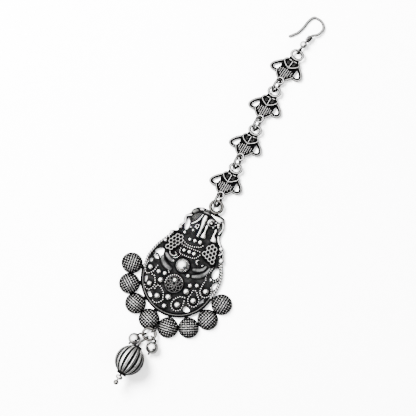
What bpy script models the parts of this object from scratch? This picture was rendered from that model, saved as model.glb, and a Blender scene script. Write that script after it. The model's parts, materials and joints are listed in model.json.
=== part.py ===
"""Maang tikka, a forehead ornament laid out on its back: hook, chain of four flower links, cast pendant
with eight woven domes, and a drop of two round beads and a ribbed melon bead.

Units are metres and +Z is up. +Y runs from the drop to the hook and +X is to the right."""

from collections import namedtuple
from math import asin, cos, pi, radians, sin, sqrt

import bmesh
import bpy
from mathutils import Matrix, Vector

UP = Vector((0, 0, 1))

# Driving sizes of the pendant
RIM_RADIUS = 0.0134
RIM_WIRE = 0.00052
SIDE_WIRE = 0.00058
PLATE_THICKNESS = 0.0011
DOME_COUNT = 8
DOME_RADIUS = 0.0039
DOME_HEIGHT = 0.0038
DOME_OVERLAP = 0.00014
DOME_FAN_MIDDLE = radians(272)
DOME_TAB_WIDTH = 0.0018
DOME_TURN = radians(37)
BELLY_RADIUS = 0.0025
NET_RADIUS = 0.0034
NET_HEIGHT = 0.0012
FRAME_WIRE = 0.00030
BEAD_LINE_WIRE = 0.00034
SLEEVE_HEIGHT = 0.0013
PIT_HALF_WIDTH = 0.00042
PIT_HALF_LENGTH = 0.00062
PIT_DEPTH = 0.0008
CROWN_HEIGHT = 0.0011
CROWN_RISE = 0.00025
BROW_HEIGHT = 0.0008
EYE_LEVEL = 0.0016
BAIL_RADIUS = 0.0022
BAIL_WIRE = 0.0006
LOWER_BAIL_RADIUS = 0.0011
LOWER_BAIL_WIRE = 0.00034

# Driving sizes of the chain
LINK_LENGTH = 0.01125
LINK_SKEW = 0.12
LINK_THICKNESS = 0.0014
LINK_CROWN = 0.0005
LINK_WIRE = 0.00042
COLLAR_WIRE = 0.00034
MIDDLE_BAR_WIRE = 0.000225
WING_LEDGE_WIRE = 0.0003
LOOP_HALF_WIDTH = 0.00215
LOOP_HALF_HEIGHT = 0.00165
LOOP_WIRE = 0.0005
TIP_RADIUS = 0.00118
TIP_WIRE = 0.0004
RING_RADIUS = 0.0024
RING_WIRE = 0.00052
RING_TILT = radians(22)
LOOP_LEVEL = 0.00195
RING_SLACK = 0.00012
BAIL_SLACK = 0.0002
FLOOR_GAP = 0.00002

# Driving sizes of the hook
HOOK_WIRE = 0.00048
HOOK_EYE_RADIUS = 0.0011
HOOK_EYE_WIRE = 0.00036
HOOK_BEAD_RADIUS = 0.0013
HOOK_REACH = 0.0071
HOOK_SLOPE_POINTS = 5
COIL_WIRE = 0.0002
COIL_TURNS = 5
COIL_PITCH = 0.00044
COIL_STEPS = 8

# Driving sizes of the drop
DROP_RING_RADIUS = 0.00235
DROP_RING_ACROSS = -0.00035
DROP_RING_SPACE = 0.00067
DROP_RING_TILT = radians(24)
DROP_RING_TOP_LEVEL = 0.0015
PIN_EYE_RADIUS = 0.0012
PIN_EYE_WIRE = 0.00036
PIN_WIRE = 0.00038
PIN_TIP_RADIUS = 0.00042
LEFT_BALL_RADIUS = 0.0022
RIGHT_BALL_RADIUS = 0.0023
MELON_RADIUS = 0.0055
MELON_HALF_LENGTH = 0.0057
MELON_RIBS = 16
MELON_GROOVE = 0.0005
MELON_STEPS = 4
MELON_SHOULDER = 0.95
MELON_NECK_RADIUS = 0.0019
MELON_NECK_LENGTH = 0.00035
MELON_SHANK = 0.0012
SPACER_RADIUS = 0.00135
SPACER_HALF_LENGTH = 0.0009
END_BALL_RADIUS = 0.001
BEAD_PITCH = radians(8)

# Fits
CLEARANCE = 0.0003
THREAD_GAP = 0.00012

# Shares of a form's own size: the flat at a round top, the draw-in of a raised top, and a dome's outline
POLE = 0.08
TAB_REACH = 0.75
TOP_DRAW = 0.72
DOME_FOOT = 0.96
DOME_WAIST = 0.18
DOME_RISES = [radians(28), radians(48), radians(68)]
NECK_LEVEL = 0.97
WING_LEVEL = 0.80
WING_LEDGE_LEVEL = 0.55
LIMB_SEAT = 0.5
HOOK_TIP_TAPER = 0.8

# How far the middle of a round form is above the plate, in its own radii
GRANULE_STAND = 0.45
CHEEK_STAND = 0.10
TEMPLE_STAND = 0.20
BELLY_STAND = 0.35

# How deep each raised form is rooted in the plate, as the height of its foot in plate thicknesses. No two
# feet are level with each other.
TAB_FOOT = 0.15
SOLDER_FOOT = 0.25
BAIL_FOOT = 0.30
BROW_FOOT = 0.36
CROWN_FOOT = 0.42
CHEEK_FOOT = 0.46
GRANULE_FOOT = 0.50
TEMPLE_FOOT = 0.54
BELLY_FOOT = 0.58
SLEEVE_FOOT = 0.62
NET_FOOT = 0.70
TAB_TOP = 0.90
SIDE_LEVEL = 0.90
RIM_LEVEL = 0.95

Granule = namedtuple("Granule", "across along size")
Point = namedtuple("Point", "across along")
Limb = namedtuple("Limb", "across along width level")
Turning = namedtuple("Turning", "out up")
Block = namedtuple("Block", "width back front")

# The net disc's outline as shares of its radius and height, and the blocks that carry the two loops as
# shares of the loop's radius
NET_OUTLINE = [Turning(1.0, 0.0), Turning(0.97, 0.55), Turning(0.60, 1.10), Turning(0.10, 1.30)]
BAIL_BLOCK = Block(1.0, 0.55, 0.10)
SOLDER_BLOCK = Block(1.4, 0.14, 1.54)

# Places on the pendant, as shares of the rim's radius from the middle of the rim
RIM_CENTRE = Point(0.02, 0.02)
DOME_REACH = 1.373
GRANULES = [
    Granule(-0.57, -0.04, 0.06),
    Granule(-0.40, -0.01, 0.06),
    Granule(-0.43, -0.22, 0.07),
    Granule(-0.02, -0.55, 0.08),
    Granule(-0.01, -0.82, 0.07),
    Granule(0.37, 0.00, 0.06),
    Granule(0.54, 0.08, 0.06),
    Granule(0.35, -0.19, 0.08),
    Granule(0.20, 0.22, 0.06),
    Granule(-0.21, 1.13, 0.05),
    Granule(-0.07, 1.16, 0.05),
    Granule(0.08, 1.19, 0.06),
    Granule(-0.22, 0.80, 0.05),
    Granule(-0.07, 0.82, 0.06),
    Granule(0.07, 0.83, 0.06),
    Granule(-0.43, 1.25, 0.05),
    Granule(0.69, 1.30, 0.06),
    Granule(0.82, 1.00, 0.06),
    Granule(-0.61, 1.34, 0.06),
    Granule(-0.77, 1.09, 0.05),
    Granule(0.46, 1.54, 0.04),
    Granule(-0.25, 1.40, 0.04),
]

# A granule with a beaded frame: the frame is a teardrop that runs from the granule towards its point
Framed = namedtuple("Framed", "across along size point_across point_along")
FRAMED_GRANULES = [
    Framed(-0.84, -0.04, 0.07, -0.68, 0.10),
    Framed(-0.66, -0.46, 0.07, -0.60, -0.18),
    Framed(-0.31, -0.67, 0.08, -0.38, -0.38),
    Framed(0.30, -0.63, 0.09, 0.34, -0.35),
    Framed(0.64, -0.35, 0.08, 0.54, -0.07),
    Framed(0.84, 0.04, 0.08, 0.72, 0.26),
]
FRAME_REACH = 0.165

# The plate above the rim, clockwise from the rim's right side
SHOULDERS = [
    Point(1.06, 0.05), Point(1.09, 0.22), Point(1.07, 0.50), Point(0.98, 0.76), Point(0.87, 0.98),
    Point(0.77, 1.21), Point(0.72, 1.34), Point(0.60, 1.40), Point(0.52, 1.52), Point(0.51, 1.79),
    Point(0.45, 1.96), Point(0.39, 2.07), Point(0.12, 2.11), Point(-0.27, 2.09), Point(-0.42, 2.03),
    Point(-0.51, 1.93), Point(-0.53, 1.80), Point(-0.62, 1.70), Point(-0.63, 1.60), Point(-0.58, 1.50),
    Point(-0.66, 1.38), Point(-0.62, 1.22), Point(-0.74, 1.16), Point(-0.80, 1.08), Point(-0.78, 0.95),
    Point(-0.87, 0.80), Point(-0.95, 0.63), Point(-1.01, 0.41), Point(-1.03, 0.22), Point(-1.02, 0.05),
]
PIERCINGS = [
    [Point(-0.52, 1.66), Point(-0.42, 1.55), Point(-0.39, 1.43), Point(-0.44, 1.31), Point(-0.53, 1.45)],
    [Point(-0.75, 0.60), Point(-0.69, 0.46), Point(-0.71, 0.29), Point(-0.84, 0.26), Point(-0.93, 0.34),
     Point(-0.88, 0.50)],
    [Point(-0.88, 0.21), Point(-0.87, 0.13), Point(-0.93, 0.10), Point(-0.94, 0.19)],
    [Point(-0.79, -0.28), Point(-0.77, -0.47), Point(-0.86, -0.36)],
    [Point(-0.55, -0.64), Point(-0.44, -0.73), Point(-0.50, -0.80), Point(-0.59, -0.73)],
    [Point(0.86, 0.77), Point(0.94, 0.69), Point(0.95, 0.56), Point(0.90, 0.46), Point(0.82, 0.46),
     Point(0.77, 0.56), Point(0.78, 0.69)],
    [Point(1.02, 0.42), Point(1.02, 0.21), Point(0.97, 0.17), Point(0.92, 0.27), Point(0.95, 0.36)],
    [Point(0.87, -0.17), Point(0.90, -0.27), Point(0.81, -0.34)],
    [Point(0.53, -0.56), Point(0.68, -0.62), Point(0.60, -0.71), Point(0.50, -0.69)],
]

# Wires that follow the sides of the plate, from the rim up
LEFT_SIDE = [
    Point(-0.99, -0.10), Point(-1.02, 0.20), Point(-1.00, 0.40), Point(-0.93, 0.64), Point(-0.84, 0.83),
    Point(-0.76, 1.00), Point(-0.72, 1.12),
]
RIGHT_SIDE = [
    Point(1.03, -0.05), Point(1.08, 0.22), Point(1.06, 0.50), Point(0.97, 0.74), Point(0.86, 0.95),
    Point(0.78, 1.12), Point(0.70, 1.26),
]

# Beaded lines on the plate: necklace, chest line, belt, hem, right edge and the edge of the right opening
BEAD_LINES = [
    [Point(-0.35, 1.03), Point(-0.22, 0.98), Point(-0.04, 0.99), Point(0.10, 1.05), Point(0.20, 1.14)],
    [Point(-0.34, 0.93), Point(-0.10, 0.93), Point(0.22, 0.95)],
    [Point(-0.32, 0.80), Point(-0.29, 0.68), Point(-0.14, 0.66), Point(0.08, 0.69), Point(0.22, 0.78)],
    [Point(0.69, 0.66), Point(0.68, 0.50), Point(0.66, 0.38), Point(0.69, 0.28)],
    [Point(0.87, 0.84), Point(0.98, 0.74), Point(1.00, 0.60), Point(0.96, 0.47), Point(0.86, 0.39),
     Point(0.76, 0.44)],
]

# Sleeves: a corner list for each panel and the rows of pits sunk in it
Sleeve = namedtuple("Sleeve", "corners pit_start pit_step row_step columns rows")
SLEEVES = [
    Sleeve(
        [Point(-0.65, 1.16), Point(-0.43, 1.11), Point(-0.39, 0.86), Point(-0.48, 0.71), Point(-0.74, 0.61)],
        Point(-0.67, 0.70), Point(0.10, 0.02), Point(0.025, 0.115), 3, 4,
    ),
    Sleeve(
        [Point(0.38, 1.28), Point(0.55, 1.24), Point(0.62, 1.06), Point(0.71, 0.76), Point(0.40, 0.82),
         Point(0.28, 0.90), Point(0.28, 1.12)],
        Point(0.37, 0.93), Point(0.115, -0.035), Point(-0.005, 0.115), 3, 3,
    ),
]

# Limbs, legs, trunk, ears and hands: each row is a point with the width and height above the plate there
LIMBS = [
    [Limb(-0.62, 0.49, 0.045, 0.03), Limb(-0.49, 0.41, 0.07, 0.06), Limb(-0.33, 0.39, 0.03, 0.04)],
    [Limb(-0.67, 0.38, 0.05, 0.03), Limb(-0.52, 0.25, 0.08, 0.06), Limb(-0.29, 0.17, 0.045, 0.04)],
    [Limb(0.53, 0.64, 0.045, 0.03), Limb(0.44, 0.51, 0.075, 0.06), Limb(0.22, 0.43, 0.03, 0.04)],
    [Limb(0.62, 0.60, 0.04, 0.03), Limb(0.52, 0.40, 0.075, 0.06), Limb(0.27, 0.25, 0.045, 0.04)],
    [Limb(-0.57, 0.58, 0.035, 0.05), Limb(-0.46, 0.52, 0.04, 0.07), Limb(-0.35, 0.60, 0.03, 0.05)],
    [Limb(0.29, 0.73, 0.03, 0.05), Limb(0.24, 0.66, 0.04, 0.07), Limb(0.33, 0.60, 0.04, 0.06)],
    [Limb(-0.10, 1.95, 0.075, 0.10), Limb(-0.09, 1.72, 0.06, 0.13), Limb(-0.07, 1.55, 0.036, 0.12),
     Limb(-0.06, 1.27, 0.036, 0.10)],
    [Limb(0.04, 1.74, 0.045, 0.06), Limb(0.07, 1.54, 0.04, 0.08), Limb(0.09, 1.40, 0.036, 0.07),
     Limb(0.09, 1.35, 0.085, 0.06)],
    [Limb(0.33, 1.75, 0.05, 0.05), Limb(0.33, 1.57, 0.045, 0.07), Limb(0.36, 1.42, 0.10, 0.05)],
    [Limb(0.40, 1.95, 0.03, 0.03), Limb(0.48, 1.79, 0.036, 0.05), Limb(0.44, 1.60, 0.035, 0.04),
     Limb(0.52, 1.46, 0.04, 0.04), Limb(0.60, 1.37, 0.06, 0.06)],
    [Limb(-0.19, 1.94, 0.03, 0.07), Limb(-0.22, 1.75, 0.045, 0.09), Limb(-0.36, 1.55, 0.035, 0.04)],
    [Limb(-0.46, 1.79, 0.05, 0.05), Limb(-0.59, 1.67, 0.045, 0.06), Limb(-0.56, 1.53, 0.04, 0.05),
     Limb(-0.60, 1.36, 0.045, 0.05)],
    [Limb(-0.20, 2.03, 0.055, 0.08), Limb(-0.34, 2.01, 0.05, 0.06), Limb(-0.46, 1.93, 0.065, 0.04),
     Limb(-0.49, 1.83, 0.05, 0.03)],
    [Limb(0.72, 1.24, 0.05, 0.05), Limb(0.64, 1.13, 0.045, 0.04), Limb(0.70, 1.02, 0.04, 0.04)],
]
CROWN = [Point(0.06, 1.93), Point(0.10, 2.05), Point(0.36, 2.05), Point(0.38, 1.89), Point(0.20, 1.91)]
BROW = [Point(-0.16, 2.09), Point(0.16, 2.09), Point(0.10, 1.98), Point(-0.14, 1.99)]
CHEEK = Granule(0.10, 1.81, 0.13)
EYE = Granule(0.12, 1.81, 0.05)
TEMPLE = Granule(0.27, 1.83, 0.08)
BELLY = Point(-0.06, 0.40)
NET = Point(-0.05, -0.15)
NET_GRANULE = Granule(-0.07, -0.06, 0.06)
BAIL = Point(0.035, 2.26)

# Places on a flower link, as shares of its length, from the middle of its body
LOOP_ALONG = 0.57
BODY = [
    Point(0.27, 0.22), Point(0.29, 0.02), Point(0.28, -0.12), Point(0.20, -0.28), Point(0.06, -0.36),
    Point(-0.08, -0.355), Point(-0.21, -0.27), Point(-0.30, -0.12), Point(-0.26, 0.02), Point(-0.27, 0.22),
]
COLLAR = [
    Point(0.18, 0.37), Point(0.265, 0.29), Point(0.22, 0.20), Point(0.0, 0.07), Point(-0.22, 0.20),
    Point(-0.265, 0.29), Point(-0.18, 0.37),
]
LOWER_RIM = [
    Point(0.32, -0.13), Point(0.22, -0.26), Point(0.07, -0.365), Point(-0.08, -0.365), Point(-0.22, -0.27),
    Point(-0.33, -0.12),
]
WING = [
    Point(0.27, 0.24), Point(0.43, 0.13), Point(0.53, 0.01), Point(0.555, -0.11), Point(0.44, -0.19),
    Point(0.31, -0.15),
]
WING_LEDGE = [
    Point(0.26, 0.18), Point(0.40, 0.08), Point(0.49, -0.05), Point(0.44, -0.13), Point(0.30, -0.13),
]
TIP_ACROSS = -0.03
MIDDLE_BAR_ACROSS = 0.01
NECK_HALF_WIDTH = 0.185
NECK_TOP = 0.44
NECK_BOTTOM = 0.34

# The chain's route: the way each ring and each link leans, from the pendant up
Step = namedtuple("Step", "ring_lean link_lean")
CHAIN_ROUTE = [
    Step(radians(-7), radians(-3.5)),
    Step(radians(-5), radians(-3.5)),
    Step(radians(-4.5), radians(-4.5)),
    Step(radians(1), radians(1)),
]

# The hook's bend, from its coil to its tip, as shares of its reach above the coil
HOOK_BEND = [
    Point(0.08, 0.10), Point(0.27, 0.25), Point(0.38, 0.48), Point(0.39, 0.70), Point(0.25, 0.89),
    Point(0.01, 1.00), Point(-0.24, 1.00), Point(-0.39, 0.86), Point(-0.49, 0.59), Point(-0.56, 0.25),
    Point(-0.68, -0.08), Point(-0.85, -0.31), Point(-1.03, -0.51),
]
HOOK_EYE_LEAN = radians(6)
HOOK_NECK_LEAN = radians(16)

# Where the drop's pieces hang: the angle of each eye round the drop ring and the way its bead lies from it
DOME_FAN_FOOT = RIM_CENTRE.along * RIM_RADIUS - DOME_REACH * RIM_RADIUS - DOME_RADIUS
DROP_RING_CENTRE = Point(DROP_RING_ACROSS, DOME_FAN_FOOT - DROP_RING_SPACE)
LOWER_BAIL_ANGLE = radians(68)
Hanging = namedtuple("Hanging", "ring_angle hang_angle")
LEFT_BALL = Hanging(radians(205), radians(251))
RIGHT_BALL = Hanging(radians(340), radians(268))
MELON = Hanging(radians(260), radians(260))
MELON_REACH = 0.01187
MELON_LEAN = radians(-4.6)
RING_CHANNEL_DROP = 0.00065

# The melon bead's ribs: how deep each side of one rib lies, as shares of the groove, and the room at its neck
RIB_DEPTHS = (1.0, 0.12, 0.12)
MELON_NECK_ROOM = radians(6)
SPACER_TURNS = [radians(35), radians(65), radians(90), radians(115), radians(145)]

# How finely round forms are divided
ROUND_SIDES = 14
GRANULE_SIDES = 10
GRANULE_RINGS = 3
BALL_RINGS = 6
END_BALL_RINGS = 8
BORED_STEPS = 8
RING_SEGMENTS = 14
EYE_SEGMENTS = 12
TIP_SEGMENTS = 8
DROP_RING_SEGMENTS = 16
WIRE_SIDES = 6
THIN_SIDES = 5
PLATE_TURNS = [radians(angle) for angle in range(184, 360, 11)]
RIM_TURNS = [radians(angle) for angle in range(172, 369, 14)]
FRAME_TURNS = [radians(angle) for angle in range(70, 291, 44)]
CHANNEL_TURNS = [radians(angle) for angle in range(85, 166, 16)]


for obj in list(bpy.data.objects):
    bpy.data.objects.remove(obj, do_unlink=True)


# Materials
def metal(name, colour, roughness):
    material = bpy.data.materials.new(name)
    material.use_nodes = True
    shader = material.node_tree.nodes["Principled BSDF"]
    shader.inputs["Base Color"].default_value = (*colour, 1)
    shader.inputs["Metallic"].default_value = 1
    shader.inputs["Roughness"].default_value = roughness
    material.diffuse_color = (*colour, 1)
    return material


POLISHED_SILVER = metal("polished_silver", (0.86, 0.85, 0.83), 0.16)
OXIDISED_SILVER = metal("oxidised_silver", (0.46, 0.45, 0.44), 0.34)


# Shapes
def solid(bm):
    """The bmesh with its faces turned outwards."""
    bmesh.ops.recalc_face_normals(bm, faces=bm.faces)
    return bm


def loft(loops, closed=False):
    """A closed body through equal loops of points, capped at both ends or joined end to end."""
    bm = bmesh.new()
    rings = [[bm.verts.new(point) for point in loop] for loop in loops]
    pairs = list(zip(rings, rings[1:]))
    if closed:
        pairs.append((rings[-1], rings[0]))
    for low, high in pairs:
        count = len(low)
        for index in range(count):
            after = (index + 1) % count
            bm.faces.new((low[index], low[after], high[after], high[index]))
    if not closed:
        bm.faces.new(rings[0])
        bm.faces.new(rings[-1])
    return solid(bm)


def tube(path, radii, sides, closed=False, flatness=1.0):
    """A wire along a level or gently sloping path, with one radius for each point."""
    points = [Vector(point) for point in path]
    count = len(points)
    loops = []
    for index, point in enumerate(points):
        before = points[index - 1] if index or closed else point
        after = points[(index + 1) % count] if index + 1 < count or closed else point
        along = (after - before).normalized()
        side = along.cross(UP).normalized()
        rise = side.cross(along)
        angles = [2 * pi * step / sides for step in range(sides)]
        loops.append([point + radii[index] * (side * cos(a) + rise * sin(a) * flatness) for a in angles])
    return loft(loops, closed)


def wire(path, radius, sides, closed=False):
    return tube(path, [radius] * len(path), sides, closed)


def ring(half_width, half_height, radius, segments, sides, place):
    """A wire ring round its own +Z axis, moved by the matrix place."""
    turns = [2 * pi * step / segments for step in range(segments)]
    bm = wire([(half_width * cos(t), half_height * sin(t), 0) for t in turns], radius, sides, closed=True)
    bm.transform(place)
    return bm


def turned(profile, sides, place, bored=False):
    """A body of revolution round its own +Z axis. Its profile is a list of (radius, height)."""
    angles = [2 * pi * step / sides for step in range(sides)]
    loops = [[(r * cos(a), r * sin(a), z) for a in angles] for r, z in profile]
    bm = loft(loops, closed=bored)
    bm.transform(place)
    return bm


def ball(middle, radius, sides=GRANULE_SIDES, rings=BALL_RINGS):
    bm = bmesh.new()
    bmesh.ops.create_uvsphere(bm, u_segments=sides, v_segments=rings, radius=radius)
    bm.transform(Matrix.Translation(middle))
    return bm


def cap(middle, radius, foot):
    """The part of a ball above the height of its foot."""
    lowest = asin(max(-1, (foot - middle.z) / radius))
    profile = []
    for step in range(GRANULE_RINGS):
        turn = lowest + (pi / 2 - lowest) * step / GRANULE_RINGS
        profile.append((radius * cos(turn), radius * sin(turn)))
    profile.append((radius * POLE, radius))
    return turned(profile, GRANULE_SIDES, Matrix.Translation(middle))


def prism(outline, low, high, crown=0.0):
    """An upright body on an outline. Its top is drawn in and raised by the crown."""
    middle = sum((Vector(point) for point in outline), Vector((0, 0))) / len(outline)
    loops = [[(x, y, low) for x, y in outline], [(x, y, high) for x, y in outline]]
    if crown:
        drawn = [middle + (Vector(point) - middle) * TOP_DRAW for point in outline]
        loops.append([(x, y, high + crown) for x, y in drawn])
    return loft(loops)


def object_of(bm, name, hidden=False):
    mesh = bpy.data.meshes.new(name)
    bm.to_mesh(mesh)
    bm.free()
    obj = bpy.data.objects.new(name, mesh)
    bpy.context.scene.collection.objects.link(obj)
    obj.hide_render = hidden
    if hidden:
        obj.display_type = "WIRE"
    return obj


def apply_boolean(obj, shapes, operation):
    """Fuses or cuts all the shapes in one step."""
    tools = bpy.data.collections.new("tools")
    bpy.context.scene.collection.children.link(tools)
    helpers = [object_of(bm, "helper", hidden=True) for bm in shapes]
    for helper in helpers:
        bpy.context.scene.collection.objects.unlink(helper)
        tools.objects.link(helper)
    modifier = obj.modifiers.new(operation.lower(), "BOOLEAN")
    modifier.operation = operation
    modifier.solver = "EXACT"
    modifier.operand_type = "COLLECTION"
    modifier.collection = tools
    bpy.context.view_layer.update()
    result = obj.evaluated_get(bpy.context.evaluated_depsgraph_get())
    mesh = bpy.data.meshes.new_from_object(result)
    obj.modifiers.clear()
    obj.data = mesh
    for helper in helpers:
        bpy.data.objects.remove(helper, do_unlink=True)
    bpy.data.collections.remove(tools)


def finish(obj, material, name=None):
    """Names the piece, gives it its metal and shades its round faces smooth."""
    obj.name = name or obj.name
    obj.data.name = obj.name
    obj.data.materials.clear()
    obj.data.materials.append(material)
    obj.data.shade_smooth()
    obj.data.set_sharp_from_angle(angle=radians(38))
    return obj


def fused(name, shapes, material):
    obj = object_of(shapes[0], name)
    if len(shapes) > 1:
        apply_boolean(obj, shapes[1:], "UNION")
    return finish(obj, material)


def upright(centre, lean, tilt):
    """Places a flat ring on edge at the centre: its own +X runs along the lean, measured from +Y, and its
    own +Y leans from straight up by the tilt."""
    along = Vector((sin(lean), cos(lean), 0))
    right = Vector((cos(lean), -sin(lean), 0))
    high = cos(tilt) * UP - sin(tilt) * right
    return Matrix.Translation(centre) @ Matrix((along, high, along.cross(high))).transposed().to_4x4()


# Pendant
def on_pendant(point, level=0.0):
    return Vector((point.across * RIM_RADIUS, point.along * RIM_RADIUS, level))


def flat_outline(points):
    return [tuple(on_pendant(point).xy) for point in points]


def rim_point(angle, radius=RIM_RADIUS):
    return on_pendant(RIM_CENTRE) + Vector((radius * cos(angle), radius * sin(angle), 0))


def dome_angles():
    chord = 2 * DOME_RADIUS - DOME_OVERLAP
    reach = DOME_REACH * RIM_RADIUS
    step = 2 * asin(chord / (2 * reach))
    first = DOME_FAN_MIDDLE - step * (DOME_COUNT - 1) / 2
    return [first + step * index for index in range(DOME_COUNT)]


def plate():
    lower = [rim_point(turn).xy for turn in PLATE_TURNS]
    outline = [tuple(point) for point in lower] + flat_outline(SHOULDERS)
    return prism(outline, 0, PLATE_THICKNESS)


def dome(angle, turn):
    """A half-round dome, flat at its back, with the tab that joins it to the rim. The turn is its own."""
    middle = rim_point(angle, DOME_REACH * RIM_RADIUS)
    profile = [(DOME_RADIUS * DOME_FOOT, 0), (DOME_RADIUS, DOME_HEIGHT * DOME_WAIST)]
    profile += [(DOME_RADIUS * cos(rise), DOME_HEIGHT * sin(rise)) for rise in DOME_RISES]
    profile.append((DOME_RADIUS * POLE, DOME_HEIGHT))
    body = turned(profile, ROUND_SIDES, Matrix.Translation(middle) @ Matrix.Rotation(turn, 4, "Z"))
    out = Vector((cos(angle), sin(angle), 0))
    side = Vector((-sin(angle), cos(angle), 0)) * DOME_TAB_WIDTH / 2
    inner = rim_point(angle, RIM_RADIUS - RIM_WIRE)
    outer = middle - out * DOME_RADIUS * TAB_REACH
    corners = [inner - side, outer - side, outer + side, inner + side]
    outline = [tuple(corner.xy) for corner in corners]
    tab = prism(outline, PLATE_THICKNESS * TAB_FOOT, PLATE_THICKNESS * TAB_TOP)
    return [body, tab]


def teardrop(row):
    """The line of a frame: round the granule, drawn out to the point."""
    middle = on_pendant(row, PLATE_THICKNESS + FRAME_WIRE / 4)
    tip = on_pendant(Point(row.point_across, row.point_along), PLATE_THICKNESS + FRAME_WIRE / 4)
    reach = FRAME_REACH * RIM_RADIUS
    out = (tip - middle).normalized()
    side = UP.cross(out)
    line = [tip]
    for angle in FRAME_TURNS:
        line.append(middle + reach * (out * cos(angle) + side * sin(angle)))
    return line


def pits(sleeve):
    """Hexagonal pits in staggered rows across a sleeve."""
    shapes = []
    top = PLATE_THICKNESS + SLEEVE_HEIGHT
    for row in range(sleeve.rows):
        for column in range(sleeve.columns):
            shift = column + 0.5 * (row % 2)
            if shift > sleeve.columns - 1:
                continue
            across = sleeve.pit_start.across + sleeve.pit_step.across * shift + sleeve.row_step.across * row
            along = sleeve.pit_start.along + sleeve.pit_step.along * shift + sleeve.row_step.along * row
            middle = on_pendant(Point(across, along))
            turns = [radians(60 * corner + 30) for corner in range(6)]
            outline = [
                (middle.x + PIT_HALF_WIDTH * cos(t), middle.y + PIT_HALF_LENGTH * sin(t)) for t in turns
            ]
            shapes.append(prism(outline, top - PIT_DEPTH, top + 2 * PIT_DEPTH))
    return shapes


def limb(rows):
    """A rounded, tapering form that lies on the plate."""
    path = [on_pendant(row, PLATE_THICKNESS + row.level * RIM_RADIUS * LIMB_SEAT) for row in rows]
    return tube(path, [row.width * RIM_RADIUS for row in rows], WIRE_SIDES)


def seated(row, stand=GRANULE_STAND, foot=GRANULE_FOOT):
    """A granule rooted in the plate. The stand is how far its middle is above the plate, in its own radii."""
    radius = row.size * RIM_RADIUS
    return cap(on_pendant(row, PLATE_THICKNESS + stand * radius), radius, PLATE_THICKNESS * foot)


def drop_ring_point(angle, out=0.0):
    """A point of the drop ring's centre line. The ring leans, with its top on the pendant's side lowest."""
    radius = DROP_RING_RADIUS + out
    rise = DROP_RING_TOP_LEVEL + (DROP_RING_RADIUS - radius * sin(angle)) * sin(DROP_RING_TILT)
    across = DROP_RING_CENTRE.across + radius * cos(angle)
    along = DROP_RING_CENTRE.along + radius * sin(angle) * cos(DROP_RING_TILT)
    return Vector((across, along, rise))


def drop_eye(angle, direction, radius, thickness):
    """A wire eye round the drop ring's wire, in the upright plane of the direction."""
    middle = drop_ring_point(angle)
    high = direction.cross(direction.cross(UP)).normalized() * -1
    place = Matrix((direction, high, direction.cross(high))).transposed()
    place = Matrix.Translation(middle) @ place.to_4x4()
    return ring(radius, radius, thickness, EYE_SEGMENTS, THIN_SIDES, place)


def rim_and_sides():
    path = [rim_point(turn) + UP * PLATE_THICKNESS * RIM_LEVEL for turn in RIM_TURNS]
    shapes = [wire(path, RIM_WIRE, WIRE_SIDES)]
    for side in (LEFT_SIDE, RIGHT_SIDE):
        path = [on_pendant(point, PLATE_THICKNESS * SIDE_LEVEL) for point in side]
        shapes.append(wire(path, SIDE_WIRE, WIRE_SIDES))
    return shapes


def bead_lines():
    """The beaded wires: open lines on the figure and closed frames round the larger granules."""
    level = PLATE_THICKNESS + BEAD_LINE_WIRE / 3
    shapes = []
    for line in BEAD_LINES:
        shapes.append(wire([on_pendant(point, level) for point in line], BEAD_LINE_WIRE, THIN_SIDES))
    shapes += [wire(teardrop(row), FRAME_WIRE, THIN_SIDES, closed=True) for row in FRAMED_GRANULES]
    return shapes


def figure():
    """The head's crown and brow, its cheek, temple and eye, the limbs, the belly and the sleeves."""
    shapes = [limb(rows) for rows in LIMBS]
    shapes.append(prism(flat_outline(CROWN), PLATE_THICKNESS * CROWN_FOOT, PLATE_THICKNESS + CROWN_HEIGHT,
                        CROWN_RISE))
    shapes.append(prism(flat_outline(BROW), PLATE_THICKNESS * BROW_FOOT, PLATE_THICKNESS + BROW_HEIGHT))
    shapes += [seated(CHEEK, CHEEK_STAND, CHEEK_FOOT), seated(TEMPLE, TEMPLE_STAND, TEMPLE_FOOT)]
    shapes.append(ball(on_pendant(EYE, PLATE_THICKNESS + EYE_LEVEL), EYE.size * RIM_RADIUS))
    shapes.append(seated(Granule(*BELLY, BELLY_RADIUS / RIM_RADIUS), BELLY_STAND, BELLY_FOOT))
    for sleeve in SLEEVES:
        shapes.append(prism(flat_outline(sleeve.corners), PLATE_THICKNESS * SLEEVE_FOOT,
                            PLATE_THICKNESS + SLEEVE_HEIGHT))
    return shapes


def net_disc():
    """The low round boss under the belly, with its own granule."""
    profile = [(NET_RADIUS * row.out, NET_HEIGHT * row.up) for row in NET_OUTLINE]
    place = Matrix.Translation(on_pendant(NET, PLATE_THICKNESS * NET_FOOT))
    granule = ball(on_pendant(NET_GRANULE, PLATE_THICKNESS + NET_HEIGHT), NET_GRANULE.size * RIM_RADIUS)
    return [turned(profile, ROUND_SIDES, place), granule]


def block(middle, radius, shape, low, high):
    """The small upright block that carries a loop of this radius."""
    half = shape.width / 2
    rows = [(-half, -shape.back), (half, -shape.back), (half, shape.front), (-half, shape.front)]
    return prism([(middle.x + x * radius, middle.y + y * radius) for x, y in rows], low, high)


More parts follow.
